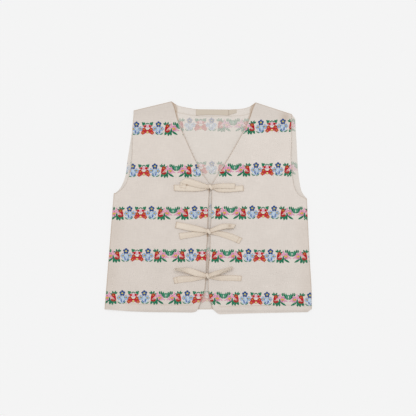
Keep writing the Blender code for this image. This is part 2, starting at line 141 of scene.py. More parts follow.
def smooth_curve(points, steps=8):
    """Points on a smooth curve through the given ones."""
    p = np.array([points[0], *points, points[-1]], float)
    t = (np.arange(steps) / steps)[:, None]
    found = []
    for before, start, end, after in zip(p, p[1:], p[2:], p[3:]):
        slope_in, slope_out, rise = (end - before) / 2, (after - start) / 2, end - start
        cubic, square = slope_in + slope_out - 2 * rise, 3 * rise - 2 * slope_in - slope_out
        found.append(start + t * (slope_in + t * (square + t * cubic)))
    return np.vstack([*found, p[-1]])


def along(points, share):
    """Places at shares of the length of a row of points."""
    points = np.array(points, float)
    lengths = np.hypot(*np.diff(points, axis=0).T)
    at = np.concatenate([[0], np.cumsum(lengths)]) / lengths.sum()
    return np.stack([np.interp(share, at, points[:, k]) for k in (0, 1)], axis=-1)


def on_row(row, share):
    """Places at shares of a row of points, or of a curve that a function gives."""
    return row(share) if callable(row) else along(row, share)


def patch(bottom, top, left, right, s, t):
    """Places on the surface between four edges, for shares s across and t up."""
    low, high = on_row(bottom, s), on_row(top, s)
    sides = [along(smooth_curve(edge) if len(edge) > 2 else edge, t) for edge in (left, right)]
    ends = [on_row(row, np.array([share])) for row in (bottom, top) for share in (0.0, 1.0)]
    s, t = s[:, None], t[:, None]
    across = sides[0] * (1 - s) + sides[1] * s
    corners = (ends[0] * (1 - s) + ends[1] * s) * (1 - t) + (ends[2] * (1 - s) + ends[3] * s) * t
    return across + low * (1 - t) + high * t - corners


def distance_to(x, y, *rows):
    """How far places are from the nearest of some rows of points joined by straight lines."""
    nearest = np.full(x.shape, np.inf)
    for a, b in (ends for row in rows for ends in zip(row, row[1:])):
        dx, dy = b[0] - a[0], b[1] - a[1]
        t = np.clip(((x - a[0]) * dx + (y - a[1]) * dy) / max(dx * dx + dy * dy, 1e-9), 0, 1)
        nearest = np.minimum(nearest, np.hypot(x - a[0] - t * dx, y - a[1] - t * dy))
    return nearest


shoulders = [right_shoulder_tip, right_neck_point], [left_neck_point, left_shoulder_tip]
seams = [right_side, left_side, *shoulders]


def seam_level(x, y):
    """The underside of the cloth that lies flat and curls up along its seams."""
    return back_curl * (1 - np.minimum(distance_to(x, y, *seams) / curl_reach, 1)) ** 2


def air_under_fronts(x, y):
    away = distance_to(x, y, *seams)
    return front_air * np.sin(np.minimum(away / seam_round, 1) * pi / 2)


def back_underside(x, y):
    """Flat on the surface, curled up at the seams and standing up under the fronts at the neck."""
    away = distance_to(x, y, right_v[-3:], left_v[-3:])
    neck = 1 + np.cos(pi * np.minimum(away / neck_reach, 1))
    return seam_level(x, y) + air_under_fronts(x, y) * neck_share * neck / 2


def crowded(share, crowding):
    """Moves shares of a width towards its two ends, where cloth turns most."""
    return share + crowding * ((1 - np.cos(pi * share)) / 2 - share)


def points_in(piece):
    """Where the points of a new primitive are."""
    at = np.empty(len(piece.data.vertices) * 3)
    piece.data.vertices.foreach_get("co", at)
    return at.reshape(-1, 3)


def move_points(piece, points):
    """Puts a piece's points at places in millimetres."""
    piece.data.vertices.foreach_set("co", (points * MM).ravel())
    piece.data.update()


def grid_piece(name, columns, rows, place, tone):
    """A flat grid whose points are moved to place(s, t), in millimetres, for shares s and t.

    tone gives each point's share of a darker tan, painted shade for the most part: at edges, sewing
    lines, creases and hollows.
    """
    bpy.ops.mesh.primitive_grid_add(x_subdivisions=columns, y_subdivisions=rows, size=1)
    piece = bpy.context.object
    piece.name = piece.data.name = name
    s, t, _ = (points_in(piece) + 0.5).T
    points = place(s, t)
    stored = piece.data.attributes.new("painted_shade_share", "FLOAT", "POINT")
    stored.data.foreach_set("value", np.clip(tone(s, t, points), 0, 1))
    move_points(piece, points)
    return piece


def finish_wall(piece, wall, offset, rounding):
    """Thickens the new, selected surface to a cloth wall in millimetres and rounds its rim."""
    solidify = piece.modifiers.new("wall", "SOLIDIFY")
    solidify.thickness = wall * MM
    solidify.offset = offset
    bevel = piece.modifiers.new("rim", "BEVEL")
    bevel.width = rounding * MM
    bevel.segments = 3
    bevel.limit_method = "ANGLE"
    bevel.angle_limit = radians(50)
    for modifier in ("wall", "rim"):
        bpy.ops.object.modifier_apply(modifier=modifier)
    bpy.ops.object.shade_smooth()


def panel_place(panel, height, chest=0.56):
    """A function from shares s and t to places on a panel, hem to shoulder."""
    middle = [panel.low_left[-1], panel.low_right[-1]]

    def place(s, t):
        s, t = crowded(s, 0.6), crowded(t, 0.5)
        found = np.empty((len(s), 2))
        low, high = t < chest, t >= chest
        sides = panel.low_left, panel.low_right
        found[low] = patch(panel.hem, middle, *sides, s[low], t[low] / chest)
        sides = panel.high_left, panel.high_right
        found[high] = patch(middle, panel.top, *sides, s[high], (t[high] - chest) / (1 - chest))
        return np.column_stack([found, height(found[:, 0], found[:, 1])])
    return place


def back_top(share, shoulder=0.25):
    """Shoulder, neckline, shoulder."""
    found = along(smooth_curve(back_neckline), (share - shoulder) / (1 - 2 * shoulder))
    right = along(shoulders[0], share / shoulder)
    corners = [left_neck_point, left_shoulder_tip, left_armhole_back[-1]]
    left = along(corners, (share - 1 + shoulder) / shoulder)
    found[share < shoulder] = right[share < shoulder]
    found[share > 1 - shoulder] = left[share > 1 - shoulder]
    return found


back_corners = [Point(corner.x, back_hem) for corner in (right_hem_corner, left_hem_corner)]
back_panel = Panel(
    hem=back_corners,
    top=back_top,
    low_left=[back_corners[0], right_underarm],
    low_right=[back_corners[1], *left_side[1:]],
    high_left=right_armhole_back,
    high_right=left_armhole_back,
)
neck_facing = 12.0
facing_rise = 0.35


def step_at(distance, reach, softness):
    """1 nearer than reach, 0 beyond it, with a soft step between."""
    share = np.clip((reach - distance) / softness + 0.5, 0, 1)
    return share * share * (3 - 2 * share)


def back_face(x, y):
    """The wrong side of the back, which faces up, with the facing that is turned in at the neck."""
    from_neck = distance_to(x, y, smooth_curve(back_neckline))
    return back_underside(x, y) + cloth_wall + facing_rise * step_at(from_neck, neck_facing, 1.5)


# Brown shade in the front opening, just below each knot and over the stretch above the lowest one
knot_shades = points_of((1.6, 33.2), (-0.8, -50.9), (-3.1, -132.8))
shade_reach = 2.4
closed_low = -121.0
closed_high = -92.0


def opening_shade(x, y):
    nearest = np.minimum.reduce([np.hypot(x - spot.x, y - spot.y) for spot in knot_shades])
    return np.exp(-((nearest / shade_reach) ** 2))


def back_painted_shade(s, t, points):
    """Painted shade in tan: in the two narrow wedges beside the neck, at the neck's rim and along
    the facing's sewing, in the front opening and along the hem.
    """
    x, y = points[:, 0], points[:, 1]
    # Painted shade where the fronts nearly meet above the lowest knot, beside their edges and below
    # the knots
    closed = step_at(np.abs(y - (closed_low + closed_high) / 2), (closed_high - closed_low) / 2, 8)
    from_edges = distance_to(x, y, right_front_edge, left_front_edge)
    from_v = distance_to(x, y, right_v, left_v)
    beside = np.maximum(0.42 * step_at(from_edges, 0.9, 1.2), 0.3 * step_at(from_v, 0.9, 1.2))
    opening = 0.35 * closed * (np.abs(x) < 12) + opening_shade(x, y) + beside
    # Painted shade along the hem, in the wedges beside the neck, along the facing's sewing and at
    # the neck's rim
    hem = 0.35 * step_at(y - back_hem, 1.4, 1.4)
    wedge_shade = step_at(from_v, 5.5 * np.clip((y - 155) / 35, 0, 1), 1.2) * (y > 157)
    from_neck = distance_to(x, y, smooth_curve(back_neckline))
    sewing = 0.14 * step_at(np.abs(from_neck - neck_facing), 0.9, 1.2)
    rim = 0.35 * step_at(from_neck, 1.0, 1.2)
    return 0.6 * wedge_shade + sewing + rim + opening + hem


back = grid_piece("linen_back", 140, 156, panel_place(back_panel, back_face), back_painted_shade)
finish_wall(back, cloth_wall - floss_height, -1, 0.3)


def hex_colour(text):
    """An sRGB hex value as linear red, green, blue and alpha."""
    parts = [int(text[k : k + 2], 16) / 255 for k in (1, 3, 5)]
    linear = [p / 12.92 if p <= 0.04045 else ((p + 0.055) / 1.055) ** 2.4 for p in parts]
    return (*linear, 1.0)


def add_node(material, kind, settings=(), links=()):
    """Adds a node with its settings, and links its inputs to other nodes' outputs."""
    tree = material.node_tree
    node = tree.nodes.new("ShaderNode" + kind)
    for key, value in dict(settings).items():
        if isinstance(key, str) and hasattr(node, key):
            setattr(node, key, value)
        else:
            node.inputs[key].default_value = value
    for key, (source, output) in dict(links).items():
        tree.links.new(source.outputs[output], node.inputs[key])
    return node


def on_object(material):
    """The link that gives a pattern its place on the object."""
    return {"Vector": (add_node(material, "TexCoord"), "Object")}


def new_material(name, roughness, specular, sheen=0.0):
    """A material whose shader has its constant values on its own sockets."""
    material = bpy.data.materials.new(name)
    material.use_nodes = True
    shader = material.node_tree.nodes["Principled BSDF"]
    shader.inputs["Roughness"].default_value = roughness
    shader.inputs["Specular IOR Level"].default_value = specular
    shader.inputs["Sheen Weight"].default_value = sheen
    shader.inputs["Sheen Roughness"].default_value = 0.5
    return material, shader


def colour_and_relief(material, shader, colour, height, strength, relief):
    """Links a colour to the shader, and a height as a bump whose relief is in millimetres."""
    settings = {"Strength": strength, "Distance": relief * MM}
    bump = add_node(material, "Bump", settings, {"Height": height})
    for socket, (node, output) in (("Base Color", colour), ("Normal", (bump, "Normal"))):
        material.node_tree.links.new(node.outputs[output], shader.inputs[socket])


# The darker tan of painted shade at edges, sewing lines, creases and hollows, mixed in by each
# point's stored share
painted_shade_tan = "#b0977f"


def with_painted_shade(material, light, dark, share):
    """Two colours of cloth mixed by a share, with a darker tan over them, painted shade for the
    most part.
    """
    ends = {6: hex_colour(light), 7: hex_colour(dark)}
    colours = add_node(material, "Mix", {"data_type": "RGBA", **ends}, {0: share})
    edge = add_node(material, "Attribute", {"attribute_name": "painted_shade_share"})
    tan = {"data_type": "RGBA", 7: hex_colour(painted_shade_tan)}
    return add_node(material, "Mix", tan, {0: (edge, "Fac"), 6: (colours, 2)}), 2


weave_pitch = 0.7
slub_width = 1.1
warp_slub_length = 14.0
weft_slub_length = 16.0
cloud_scale = 28.0
wave_turn = 2 * pi / 20


def linen(name, light, dark, shaded_shoulders=0.0):
    """Plain-weave linen, unbleached: uneven slub threads both ways and a dry, matt surface.

    The threads are drawn 0.7 mm apart, somewhat coarser than real ones, so that they show. The
    colour is painted a little darker towards the hem and, as far as asked, at the shoulders:
    painted shade, for the light that falls off towards the hem and the cloth that rounds over at
    the shoulders.
    """
    material, shader = new_material(name, 0.9, 0.2, 0.1)
    place = on_object(material)
    slubs = []
    for size in ((slub_width, warp_slub_length), (weft_slub_length, slub_width)):
        scale = (1 / (size[0] * MM), 1 / (size[1] * MM), 1)
        run = add_node(material, "Mapping", {"Scale": scale}, place)
        noise = {"Scale": 1.0, "Detail": 2.0}
        slubs.append((add_node(material, "TexNoise", noise, {"Vector": (run, "Vector")}), "Fac"))
    slubs = add_node(material, "Math", {"operation": "ADD"}, dict(enumerate(slubs))), "Value"
    clouds = add_node(material, "TexNoise", {"Scale": cloud_scale, "Detail": 3.0}, place)
    apart = add_node(material, "SeparateXYZ", (), place)
    tone = add_node(material, "Math", {"operation": "ADD"}, {0: slubs, 1: (clouds, "Fac")})
    # Painted shade: darker towards the hem, and at the shoulders by as much as the last argument
    # asks
    for low, high, least, most in ((0.2, -0.2, -0.22, 0.56), (0.135, 0.192, 0.0, shaded_shoulders)):
        ends = {"From Min": low, "From Max": high, "To Min": least, "To Max": most}
        shade_ramp = add_node(material, "MapRange", ends, {"Value": (apart, "Y")})
        links = {0: (tone, "Value"), 1: (shade_ramp, "Result")}
        tone = add_node(material, "Math", {"operation": "ADD"}, links)
    ends = {"From Min": 0.9, "From Max": 2.2}
    share = add_node(material, "MapRange", ends, {"Value": (tone, "Value")})
    threads = []
    for way in ("X", "Y"):
        pitch = wave_turn / (weave_pitch * MM)
        wave = {"bands_direction": way, "Scale": pitch, "Distortion": 0.6}
        threads.append((add_node(material, "TexWave", wave, place), "Fac"))
    weave = add_node(material, "Math", {"operation": "MULTIPLY"}, dict(enumerate(threads)))
    raised = add_node(material, "Math", {"operation": "ADD"}, {0: (weave, "Value"), 1: slubs})
    colour = with_painted_shade(material, light, dark, (share, "Result"))
    colour_and_relief(material, shader, colour, (raised, "Value"), 0.3, 0.2)
    return material


def dress(piece, node, material):
    """Gives a piece its material, hangs it from the root and hides the solid that it stands for."""
    piece.data.materials.append(material)
    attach(piece, "root")
    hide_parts(node)


dress(back, "back", linen("linen_wrong_side", "#e2dad2", "#d4ccc4"))


# The fronts
# Two fronts of the same linen, face up, sewn to the back at the sides and shoulders. Their edges
# are faced and their hems turned up 14 mm, so every free edge is a soft double fold.

Fold = namedtuple("Fold", "x y half_length half_width turn height")
right_armhole_front = points_of(
    right_underarm, (-169.5, 28.3), (-156, 39.2), (-147, 59.8), (-142, 89.6),
    (-140.3, 140), right_shoulder_tip,
)
left_armhole_front = points_of(
    left_underarm, (169.9, 22.8), (161.4, 35.6), (157.1, 55.5), (153.9, 91), (154.8, 119.5),
    (154.8, 150.9), left_shoulder_tip,
)
right_hem = points_of(
    right_hem_corner, (-145.4, -192.2), (-107, -193.7), (-30, -194.6), (-23.3, -193),
    right_front_edge[0],
)
left_hem = points_of(
    left_front_edge[0], (16.6, -196), (21.1, -197.8), (77.8, -196), (185, -193.7),
    left_hem_corner,
)
folds = [
    Fold(*row)
    for row in (
        (-160, -137, 22, 6, 75, 1.1), (-141, 34, 28, 7, 80, 0.8), (-100, -48, 60, 11, 10, 0.6),
        (-62, -112, 42, 10, -14, 0.5), (-118, -176, 16, 10, 90, 0.6), (-52, -178, 14, 9, 90, 0.7),
        (-104, 118, 34, 10, 68, 0.6), (-66, 20, 46, 12, -8, 0.5), (144, 168, 16, 6, -18, -0.7),
        (151, 26, 27, 7, 98, 0.8), (112, -62, 52, 12, -7, 0.6), (60, -118, 44, 10, 12, 0.5),
        (138, -172, 15, 10, 90, 0.6), (46, -180, 14, 9, 90, 0.7), (106, 112, 36, 10, 108, 0.6),
        (78, 18, 44, 12, 9, 0.5), (-7, -84, 26, 8, 90, 0.7), (9, -6, 24, 8, 90, 0.7),
        (-16, -172, 20, 9, 62, 0.9), (12, -176, 18, 9, 112, 0.9),
        # sharper creases
        (-155.5, -136, 11, 2.2, 84, -0.45), (-151.0, -134, 9, 2.4, 80, 0.3),
        (-142.6, 33, 8, 2.0, 82, -0.4), (-128, 52, 24, 3.4, 38, 0.3),
        (-96, 84, 30, 4.2, 52, -0.25), (-118, 166, 22, 3.2, -12, 0.3),
        (-86, 178, 14, 2.8, -20, -0.3), (-48, 46, 26, 3.0, -9, 0.35), (-40, 31, 20, 2.6, 6, -0.3),
        (-44, -36, 30, 3.4, 14, 0.3), (-36, -58, 22, 2.8, -8, -0.3), (-58, -118, 26, 3.2, 9, 0.3),
        (-30, -138, 16, 2.6, -16, -0.35), (-86, -140, 34, 4.4, -6, 0.25),
        (-128, -60, 36, 4.6, 78, -0.25), (-168, -70, 26, 3.2, 88, 0.35),
        (-134, -182, 9, 3.0, 84, 0.4), (-84, -184, 7, 2.6, 96, -0.35),
        (143, 172, 9, 3.0, -30, -0.5), (136, 166, 12, 3.0, -24, 0.35),
        (124, 158, 20, 3.6, -14, -0.3), (100, 176, 14, 2.8, 16, 0.3),
        (148, 60, 18, 3.0, 112, 0.35), (132, 44, 26, 3.6, 140, -0.25),
        (96, 92, 30, 4.4, 118, 0.25), (46, 46, 24, 3.0, 10, 0.35), (40, 30, 18, 2.6, -8, -0.3),
        (52, -30, 28, 3.2, -12, 0.3), (44, -62, 20, 2.8, 16, -0.3), (56, -112, 26, 3.4, -10, 0.3),
        (30, -142, 16, 2.6, 20, -0.35), (104, -136, 34, 4.6, 8, 0.25),
        (150, -54, 34, 4.2, 96, -0.25), (176, -96, 28, 3.2, 92, 0.35),
        (162, -181, 9, 3.0, 92, 0.4), (98, -185, 7, 2.8, 82, -0.35),
    )
]


def fold_height(x, y, folds):
    """The height of soft ridges and troughs, or their tone, each at its own angle from X."""
    total = np.zeros(x.shape)
    for fold in folds:
        turn = radians(fold.turn)
        dx, dy = x - fold.x, y - fold.y
        length = (dx * cos(turn) + dy * sin(turn)) / fold.half_length
        width = (dy * cos(turn) - dx * sin(turn)) / fold.half_width
        total += fold.height * np.exp(-length * length - width * width)
    return total


# Painted shade in a fold by the left armhole, used for its tone only
sleeve_shade = Fold(143, 168, 9, 9, 0, 0.42)
hem_depth = 14.0
hem_rise = 0.4
sewing_dip = 0.35
edge_roll = 0.7
free_edges = [
    smooth_curve([*right_front_edge, *right_v[1:]]),
    smooth_curve([*left_front_edge, *left_v[1:]]),
    smooth_curve(right_armhole_front),
    smooth_curve(left_armhole_front),
]


def front_underside(x, y):
    """The fronts lie on the back with some air, and their soft folds rise from that."""
    clear = np.minimum(distance_to(x, y, *seams) / fold_clear, 1)
    rise = fold_height(x, y, folds) * clear
    rolled = edge_roll * step_at(distance_to(x, y, *free_edges), 1.2, 3.0)
    air = air_under_fronts(x, y)
    drop = hem_drop * step_at(y, hem_drop_middle, hem_drop_reach) * air / front_air
    return seam_level(x, y) + cloth_wall + seam_gap + air + rise - rolled - drop


def front_face(x, y):
    """The right side of the fronts: the turned-up hem stands a little proud of its sewing."""
    from_hem = distance_to(x, y, right_hem, left_hem)
    hem = hem_rise * step_at(from_hem, hem_depth, 2.0)
    dip = sewing_dip * step_at(np.abs(from_hem - hem_depth), 1.2, 2.0)
    return front_underside(x, y) + cloth_wall + hem - dip


def front_tone(s, t, points):
    """Painted shade in tan along the turned edges, the seams and, more faintly, the hem's sewing,
    in a fold by the left armhole and in the opening below the knots; the lower sides and the
    wearer's right front are also a little darker.
    """
    x, y = points[:, 0], points[:, 1]
    # Painted shade where the turned edges roll down out of the light
    turned = step_at(distance_to(x, y, *free_edges), 0.7, 1.0)
    edge = np.where(distance_to(x, y, *free_edges[2:]) < 2, 0.35, 0.65) * turned
    # Painted shade in the hem's sewing line, and where the cloth turns over at the seams
    from_hem = distance_to(x, y, right_hem, left_hem)
    sewing = 0.28 * step_at(np.abs(from_hem - hem_depth), 0.8, 1.6)
    from_seam = distance_to(x, y, *seams)
    seam = 0.45 * step_at(from_seam, 1.3, 1.6)
    # A little darker near the lower side seams and over all of the wearer's right front
    sides = 0.1 * step_at(from_seam, 20, 30) * (y < 0)
    right_front_darker = 0.05 * (x < 0)
    # Painted shade in a fold by the left armhole and in the opening below the knots
    shade = fold_height(x, y, [sleeve_shade]) + opening_shade(x, y)
    return edge + sewing + seam + sides + right_front_darker + shade


right_front_panel = Panel(
    hem=right_hem,
    top=shoulders[0],
    low_left=right_side,
    low_right=right_front_edge,
    high_left=right_armhole_front,
    high_right=right_v,
)
left_front_panel = Panel(
    hem=left_hem,
    top=shoulders[1],
    low_left=left_front_edge,
    low_right=left_side,
    high_left=left_v,
    high_right=left_armhole_front,
)
linen_face = linen("linen_right_side", "#e4dbd3", "#d4cbc3", 0.95)
fronts = {}
for side, panel in (("right", right_front_panel), ("left", left_front_panel)):
    place = panel_place(panel, front_face)
    fronts[side] = grid_piece(f"linen_front_{side}", 100, 190, place, front_tone)
    finish_wall(fronts[side], cloth_wall, -1, 0.45)
    dress(fronts[side], f"front_{side}", linen_face)


# The embroidery
# Five bands of small flowers in rayon floss, satin-stitched by machine right across the cloth
# before the panels were cut, so each band runs on over the seams and under the edges.

Stitched = namedtuple("Stitched", "floss form layer width points")
Flower = namedtuple("Flower", "floss layer x y radius petals turn eye eye_radius")
Band = namedtuple("Band", "start_x start_y end_x end_y axis")

floss_colours = dict(
    navy="#2a5598", mid_blue="#4d6cb0", light_blue="#a6c2e4", pale_blue="#ccdae6",
    red="#c01020", bright_red="#d00418", soft_red="#c82c34", crimson="#cc5070",
    pink="#e8aec6", mauve="#cf7fae", pale_pink="#f0c4d2", cream_yellow="#ece0a0",
    yellow="#dfd062", orange="#dc9838", ochre="#bca23c", amber="#ca9c40",
    green="#208460", mid_green="#369470", soft_green="#6cb094", mint="#e6ece2",
)


def shape_of(form):
    """A maker of stitched shapes of one form, each from its floss, layer, width and middle line."""
    return lambda floss, layer, width, *points: Stitched(floss, form, layer, width, points)


leaf, disc, half_disc, stroke = (shape_of(f) for f in ("leaf", "disc", "half_disc", "stroke"))

# Half of the repeat, from the axis of the paired red flowers to the axis of the fern, charted on
# squares of 1.86 mm with the band's middle at 0; the other half is its mirror image
chart_square = 1.86
half_repeat = 32.45
motifs = [
    # the paired red flowers and their heart
    half_disc("pale_pink", 0, 4, (0, 2.6), (1.7, 2.5)),
    stroke("green", 0, 1.1, (0, 5.5), (1, 5.2), (1.9, 4.2)),
    leaf("green", 0, 2.6, (2.4, 6.1), (3.4, 5.3), (3.7, 3.3)),
    leaf("green", 0, 2.6, (5.7, 6.2), (4.5, 5.3), (3.8, 3.3)),
    leaf("crimson", 0, 1.6, (3, 3), (5, 2.5)),
    disc("bright_red", 1, 2.7, (1.2, 2.5), (3.5, 2.5)),
    half_disc("mint", 1, 1.9, (0, -0.4), (1.6, -0.3)),
    disc("soft_red", 0, 3.4, (0.7, -3.3), (4.7, -2.5)),
    half_disc("soft_red", 0, 2.2, (0, -2), (3.2, -1.7)),
    Flower("red", 0, 3.5, -0.8, 2.35, 5, 98, "amber", 0.8),
    Flower("soft_red", 0, 4.6, -3.9, 2.25, 5, -10, "amber", 0.85),
    disc("crimson", 1, 1.6, (1.9, -4), (3.1, -3.6)),
    half_disc("orange", 1, 2.2, (0, -3.6), (1.4, -3.6)),
    half_disc("cream_yellow", 2, 1.8, (0, -3.4), (1, -3.4)),
    disc("mint", 0, 1.3, (5.8, -6.1), (7, -6.1)),
    disc("mint", 0, 1.1, (5.5, 1.1), (6.6, 1.1)),
    disc("mint", 0, 0.8, (2, -6.3), (2.9, -6.3)),
    # the navy flower over two light blue ones
    disc("pale_blue", 0, 5.2, (8.6, -1), (13, -1)),
    leaf("pale_blue", 0, 2.8, (8.2, -1.8), (10.8, -5.4)),
    leaf("pale_blue", 0, 2.8, (14.8, -2.2), (11, -5.4)),
    Flower("light_blue", 1, 7.2, 0.1, 2.6, 5, 95, "ochre", 1.1),
    leaf("navy", 2, 0.8, (8.5, 1.1), (8.7, -0.9)),
    Flower("light_blue", 1, 13.9, -0.2, 2.6, 5, 67, "ochre", 1.1),
    leaf("mid_blue", 1, 1.6, (12.3, -0.8), (12.2, -2.8), (11.3, -4.9)),
    leaf("mid_blue", 1, 1.6, (8.8, -2.3), (9.3, -3.7), (10.6, -4.9)),
    disc("mint", 1, 1.4, (13.1, -2.7), (14.4, -2.7)),
    Flower("navy", 1, 11, 4.4, 3.1, 5, 92, "yellow", 1.1),
    leaf("mid_green", 1, 1.1, (7.8, -3.3), (8.9, -5), (11, -6.1)),
    leaf("mid_green", 1, 1.1, (15.8, -3.7), (14.4, -5.2), (12, -6)),
    # the red flower with its leaves
    leaf("green", 0, 1.9, (15.9, 5.5), (17.2, 4.5), (18.6, 3.7)),
    leaf("green", 0, 1.6, (17.6, 6.9), (18.2, 5.2), (18.9, 3.8)),
    leaf("green", 0, 1.9, (21, 6.6), (20.4, 5), (19.7, 3.4)),
    leaf("mid_green", 0, 1.2, (19.6, 5.4), (19.5, 4.4), (19.3, 3.6)),
    leaf("green", 0, 1.6, (23.1, 4.2), (21.8, 3.5), (20.3, 2.9)),
    leaf("green", 0, 2.8, (19.9, -2.4), (18.3, -4.3), (17, -6.4)),
    leaf("green", 0, 2.8, (20.4, -2.6), (20.8, -5), (20.5, -7.2)),
    leaf("green", 0, 2.8, (21.6, -2.2), (23, -4.6), (23.4, -7)),
    leaf("green", 2, 1.9, (23.6, 0.6), (23.8, -2), (22.9, -5.2)),
    leaf("red", 1, 1.9, (18.6, 3), (18.3, 0.2), (17.4, -2.6)),
    leaf("red", 1, 2.5, (22.7, -1.8), (20.4, -2.9), (17.1, -2.2)),
    disc("soft_red", 1, 2.2, (18.4, 0.5), (20, -0.8)),
    Flower("red", 1, 19.9, 2.3, 2.3, 5, 75, "amber", 0.9),
    disc("pale_pink", 1, 2.5, (19.6, -0.6), (22.4, -0.2)),
    disc("orange", 2, 1.4, (20.1, -0.7), (21.6, -0.7)),
    disc("cream_yellow", 3, 0.8, (20.5, -0.6), (21.3, -0.6)),
    # the pink flower with its long leaf
    leaf("green", 0, 2.2, (24.2, -2.2), (27, -4.5), (30.1, -6.3)),
    leaf("pink", 0, 2.2, (24.2, 5.6), (24, 3.4), (25, 0.9)),
    leaf("pink", 0, 2.4, (21, 0.8), (23.2, 1.6), (25.6, 0.9)),
    leaf("pink", 0, 2.4, (28.7, 2.8), (27.2, 2.1), (25.6, 0.9)),
    leaf("mauve", 1, 1, (25.2, 3), (26, 2), (27.6, 2.1)),
    leaf("pink", 0, 2.4, (23.6, -2.2), (25, -1.2), (26.4, 0.4)),
    leaf("mauve", 0, 2, (25.6, -3.1), (26.2, -1.6), (26.6, 0.2)),
    leaf("pink", 0, 2.2, (28.4, -3.1), (27.6, -1.6), (26.8, 0.2)),
    leaf("pink", 0, 1.7, (31.9, -2.4), (29.6, -1.3), (26.8, 0.4)),
    leaf("pink", 0, 2, (30, 0.6), (28.6, 0.7), (26.8, 0.7)),
    disc("orange", 2, 2.1, (24.7, 0.3), (28, -0.7)),
    disc("yellow", 3, 1.4, (25.1, 0.2), (27.6, -0.5)),
    # the fern between two pink flowers
    leaf("green", 0, 1.8, (26.8, 6.5), (26.2, 5), (26.7, 3)),
    leaf("green", 1, 1.9, (28.1, 6.6), (28.1, 4.8), (28.9, 2.4)),
    leaf("mid_green", 1, 1.4, (30.2, 6), (30, 4.6), (29.6, 2.8)),
    half_disc("green", 0, 5, (32.45, 2), (28.1, 2.5)),
    leaf("soft_green", 1, 1.1, (31.9, 4.6), (30.8, 3.2), (30.8, 1.4), (31.7, 0)),
    half_disc("mint", 1, 3, (32.45, 2.3), (31.8, 2.3)),
]
right_bands = [Band(*row) for row in (
    (-134.2, 146.7, -52.4, 147.2, -112.6),
    (-149.1, 68.5, -5.9, 69.5, -119.5),
    (-177, -10.3, -0.3, -9.4, -125.5),
    (-182.6, -88.6, -2.1, -88.4, -132),
    (-188.1, -166.5, -5.9, -166.9, -138.9),
)]
left_bands = [Band(*row) for row in (
    (64.8, 148.7, 154.1, 152.8, 118.4),
    (14.6, 70.6, 167.1, 71.1, 109.5),
    (7.2, -8.6, 183.9, -9.8, 102.2),
    (7.2, -88.6, 187.6, -90.3, 95.3),
    (7.2, -167.5, 191.3, -171, 88.8),
)]
back_bands = [Band(*row) for row in (
    (-150, 154.2, 150, 154.2, -14),
    (-150, 73.9, 150, 73.9, -13.6),
    (-170, -5.9, 170, -5.9, -14),
    (-180, -85.8, 180, -85.8, -7.7),
    (-185, -165.6, 185, -165.6, -2.1),
)]

stitch_spacing = 0.52
stitch_width = 0.78
layer_rise = 0.13
leaf_slant = 0.35
shortest_half = 0.3
petal_depth = 0.42
petal_roundness = 0.55
open_eye = 0.16
spacing_ring = 0.62
forms = {
    "leaf": lambda t: np.sin(pi * np.clip(t, 0, 1)) ** 0.65,
    "disc": lambda t: np.sqrt(np.clip(1 - (2 * t - 1) ** 2, 0, 1)),
    "half_disc": lambda t: np.sqrt(np.clip(1 - t * t, 0, 1)),
    "stroke": lambda t: np.ones(len(t)),
}


def satin(shape):
    """Starts and ends, in millimetres on the chart, of stitches laid side by side over a shape."""
    curve = smooth_curve(shape.points, 12) * chart_square
    steps = np.hypot(*np.diff(curve, axis=0).T)
    count = max(round(steps.sum() / stitch_spacing), 2)
    t = (np.arange(count) + 0.5) / count
    middle = along(curve, t)
    heading = along(curve, np.clip(t + 0.02, 0, 1)) - along(curve, np.clip(t - 0.02, 0, 1))
    heading /= np.linalg.norm(heading, axis=1)[:, None]
    lie = np.stack([-heading[:, 1], heading[:, 0]], 1)
    if shape.form == "leaf":
        lie += heading * leaf_slant
    half = shape.width * chart_square / 2 * forms[shape.form](t)
    half = np.maximum(half, shortest_half)[:, None] * lie
    return middle - half, middle + half


def radial(flower):
    """Stitches from the eye of a flower out to its petals' edges."""
    radius = flower.radius * chart_square
    count = round(2 * pi * radius * spacing_ring / stitch_spacing)
    angle = 2 * pi * np.arange(count) / count
    lobe = np.abs(np.cos(flower.petals / 2 * (angle - radians(flower.turn)))) ** petal_roundness
    outer = radius * (1 - petal_depth * (1 - lobe))
    way = np.stack([np.cos(angle), np.sin(angle)], 1)
    middle = np.array([flower.x, flower.y]) * chart_square
    return middle + way * radius * open_eye, middle + way * outer[:, None]


def chart():
    """All stitches of half a repeat: starts, ends, and colours with each stitch's layer."""
    rows = []
    for shape in motifs:
        if isinstance(shape, Flower):
            rows.append((radial(shape), shape.floss, shape.layer))
            reach, layer = shape.eye_radius, shape.layer + 1
            line = (shape.x - reach, shape.y), (shape.x + reach, shape.y)
            shape = disc(shape.eye, layer, 2 * reach, *line)
        rows.append((satin(shape), shape.floss, shape.layer))
    dyes = [
        np.tile([*hex_colour(floss_colours[floss])[:3], layer], (len(stitches[0]), 1))
        for stitches, floss, layer in rows
    ]
    starts, ends = zip(*(row[0] for row in rows))
    return np.vstack(starts), np.vstack(ends), np.vstack(dyes)


def inside(x, y, outline):
    """Whether places lie within a closed outline."""
    found = np.zeros(x.shape, bool)
    for a, b in zip(outline, [*outline[1:], outline[0]]):
        if a[1] == b[1]:
            continue
        crossing = a[0] + (y - a[1]) / (b[1] - a[1]) * (b[0] - a[0])
        found ^= ((y < a[1]) != (y < b[1])) & (x < crossing)
    return found


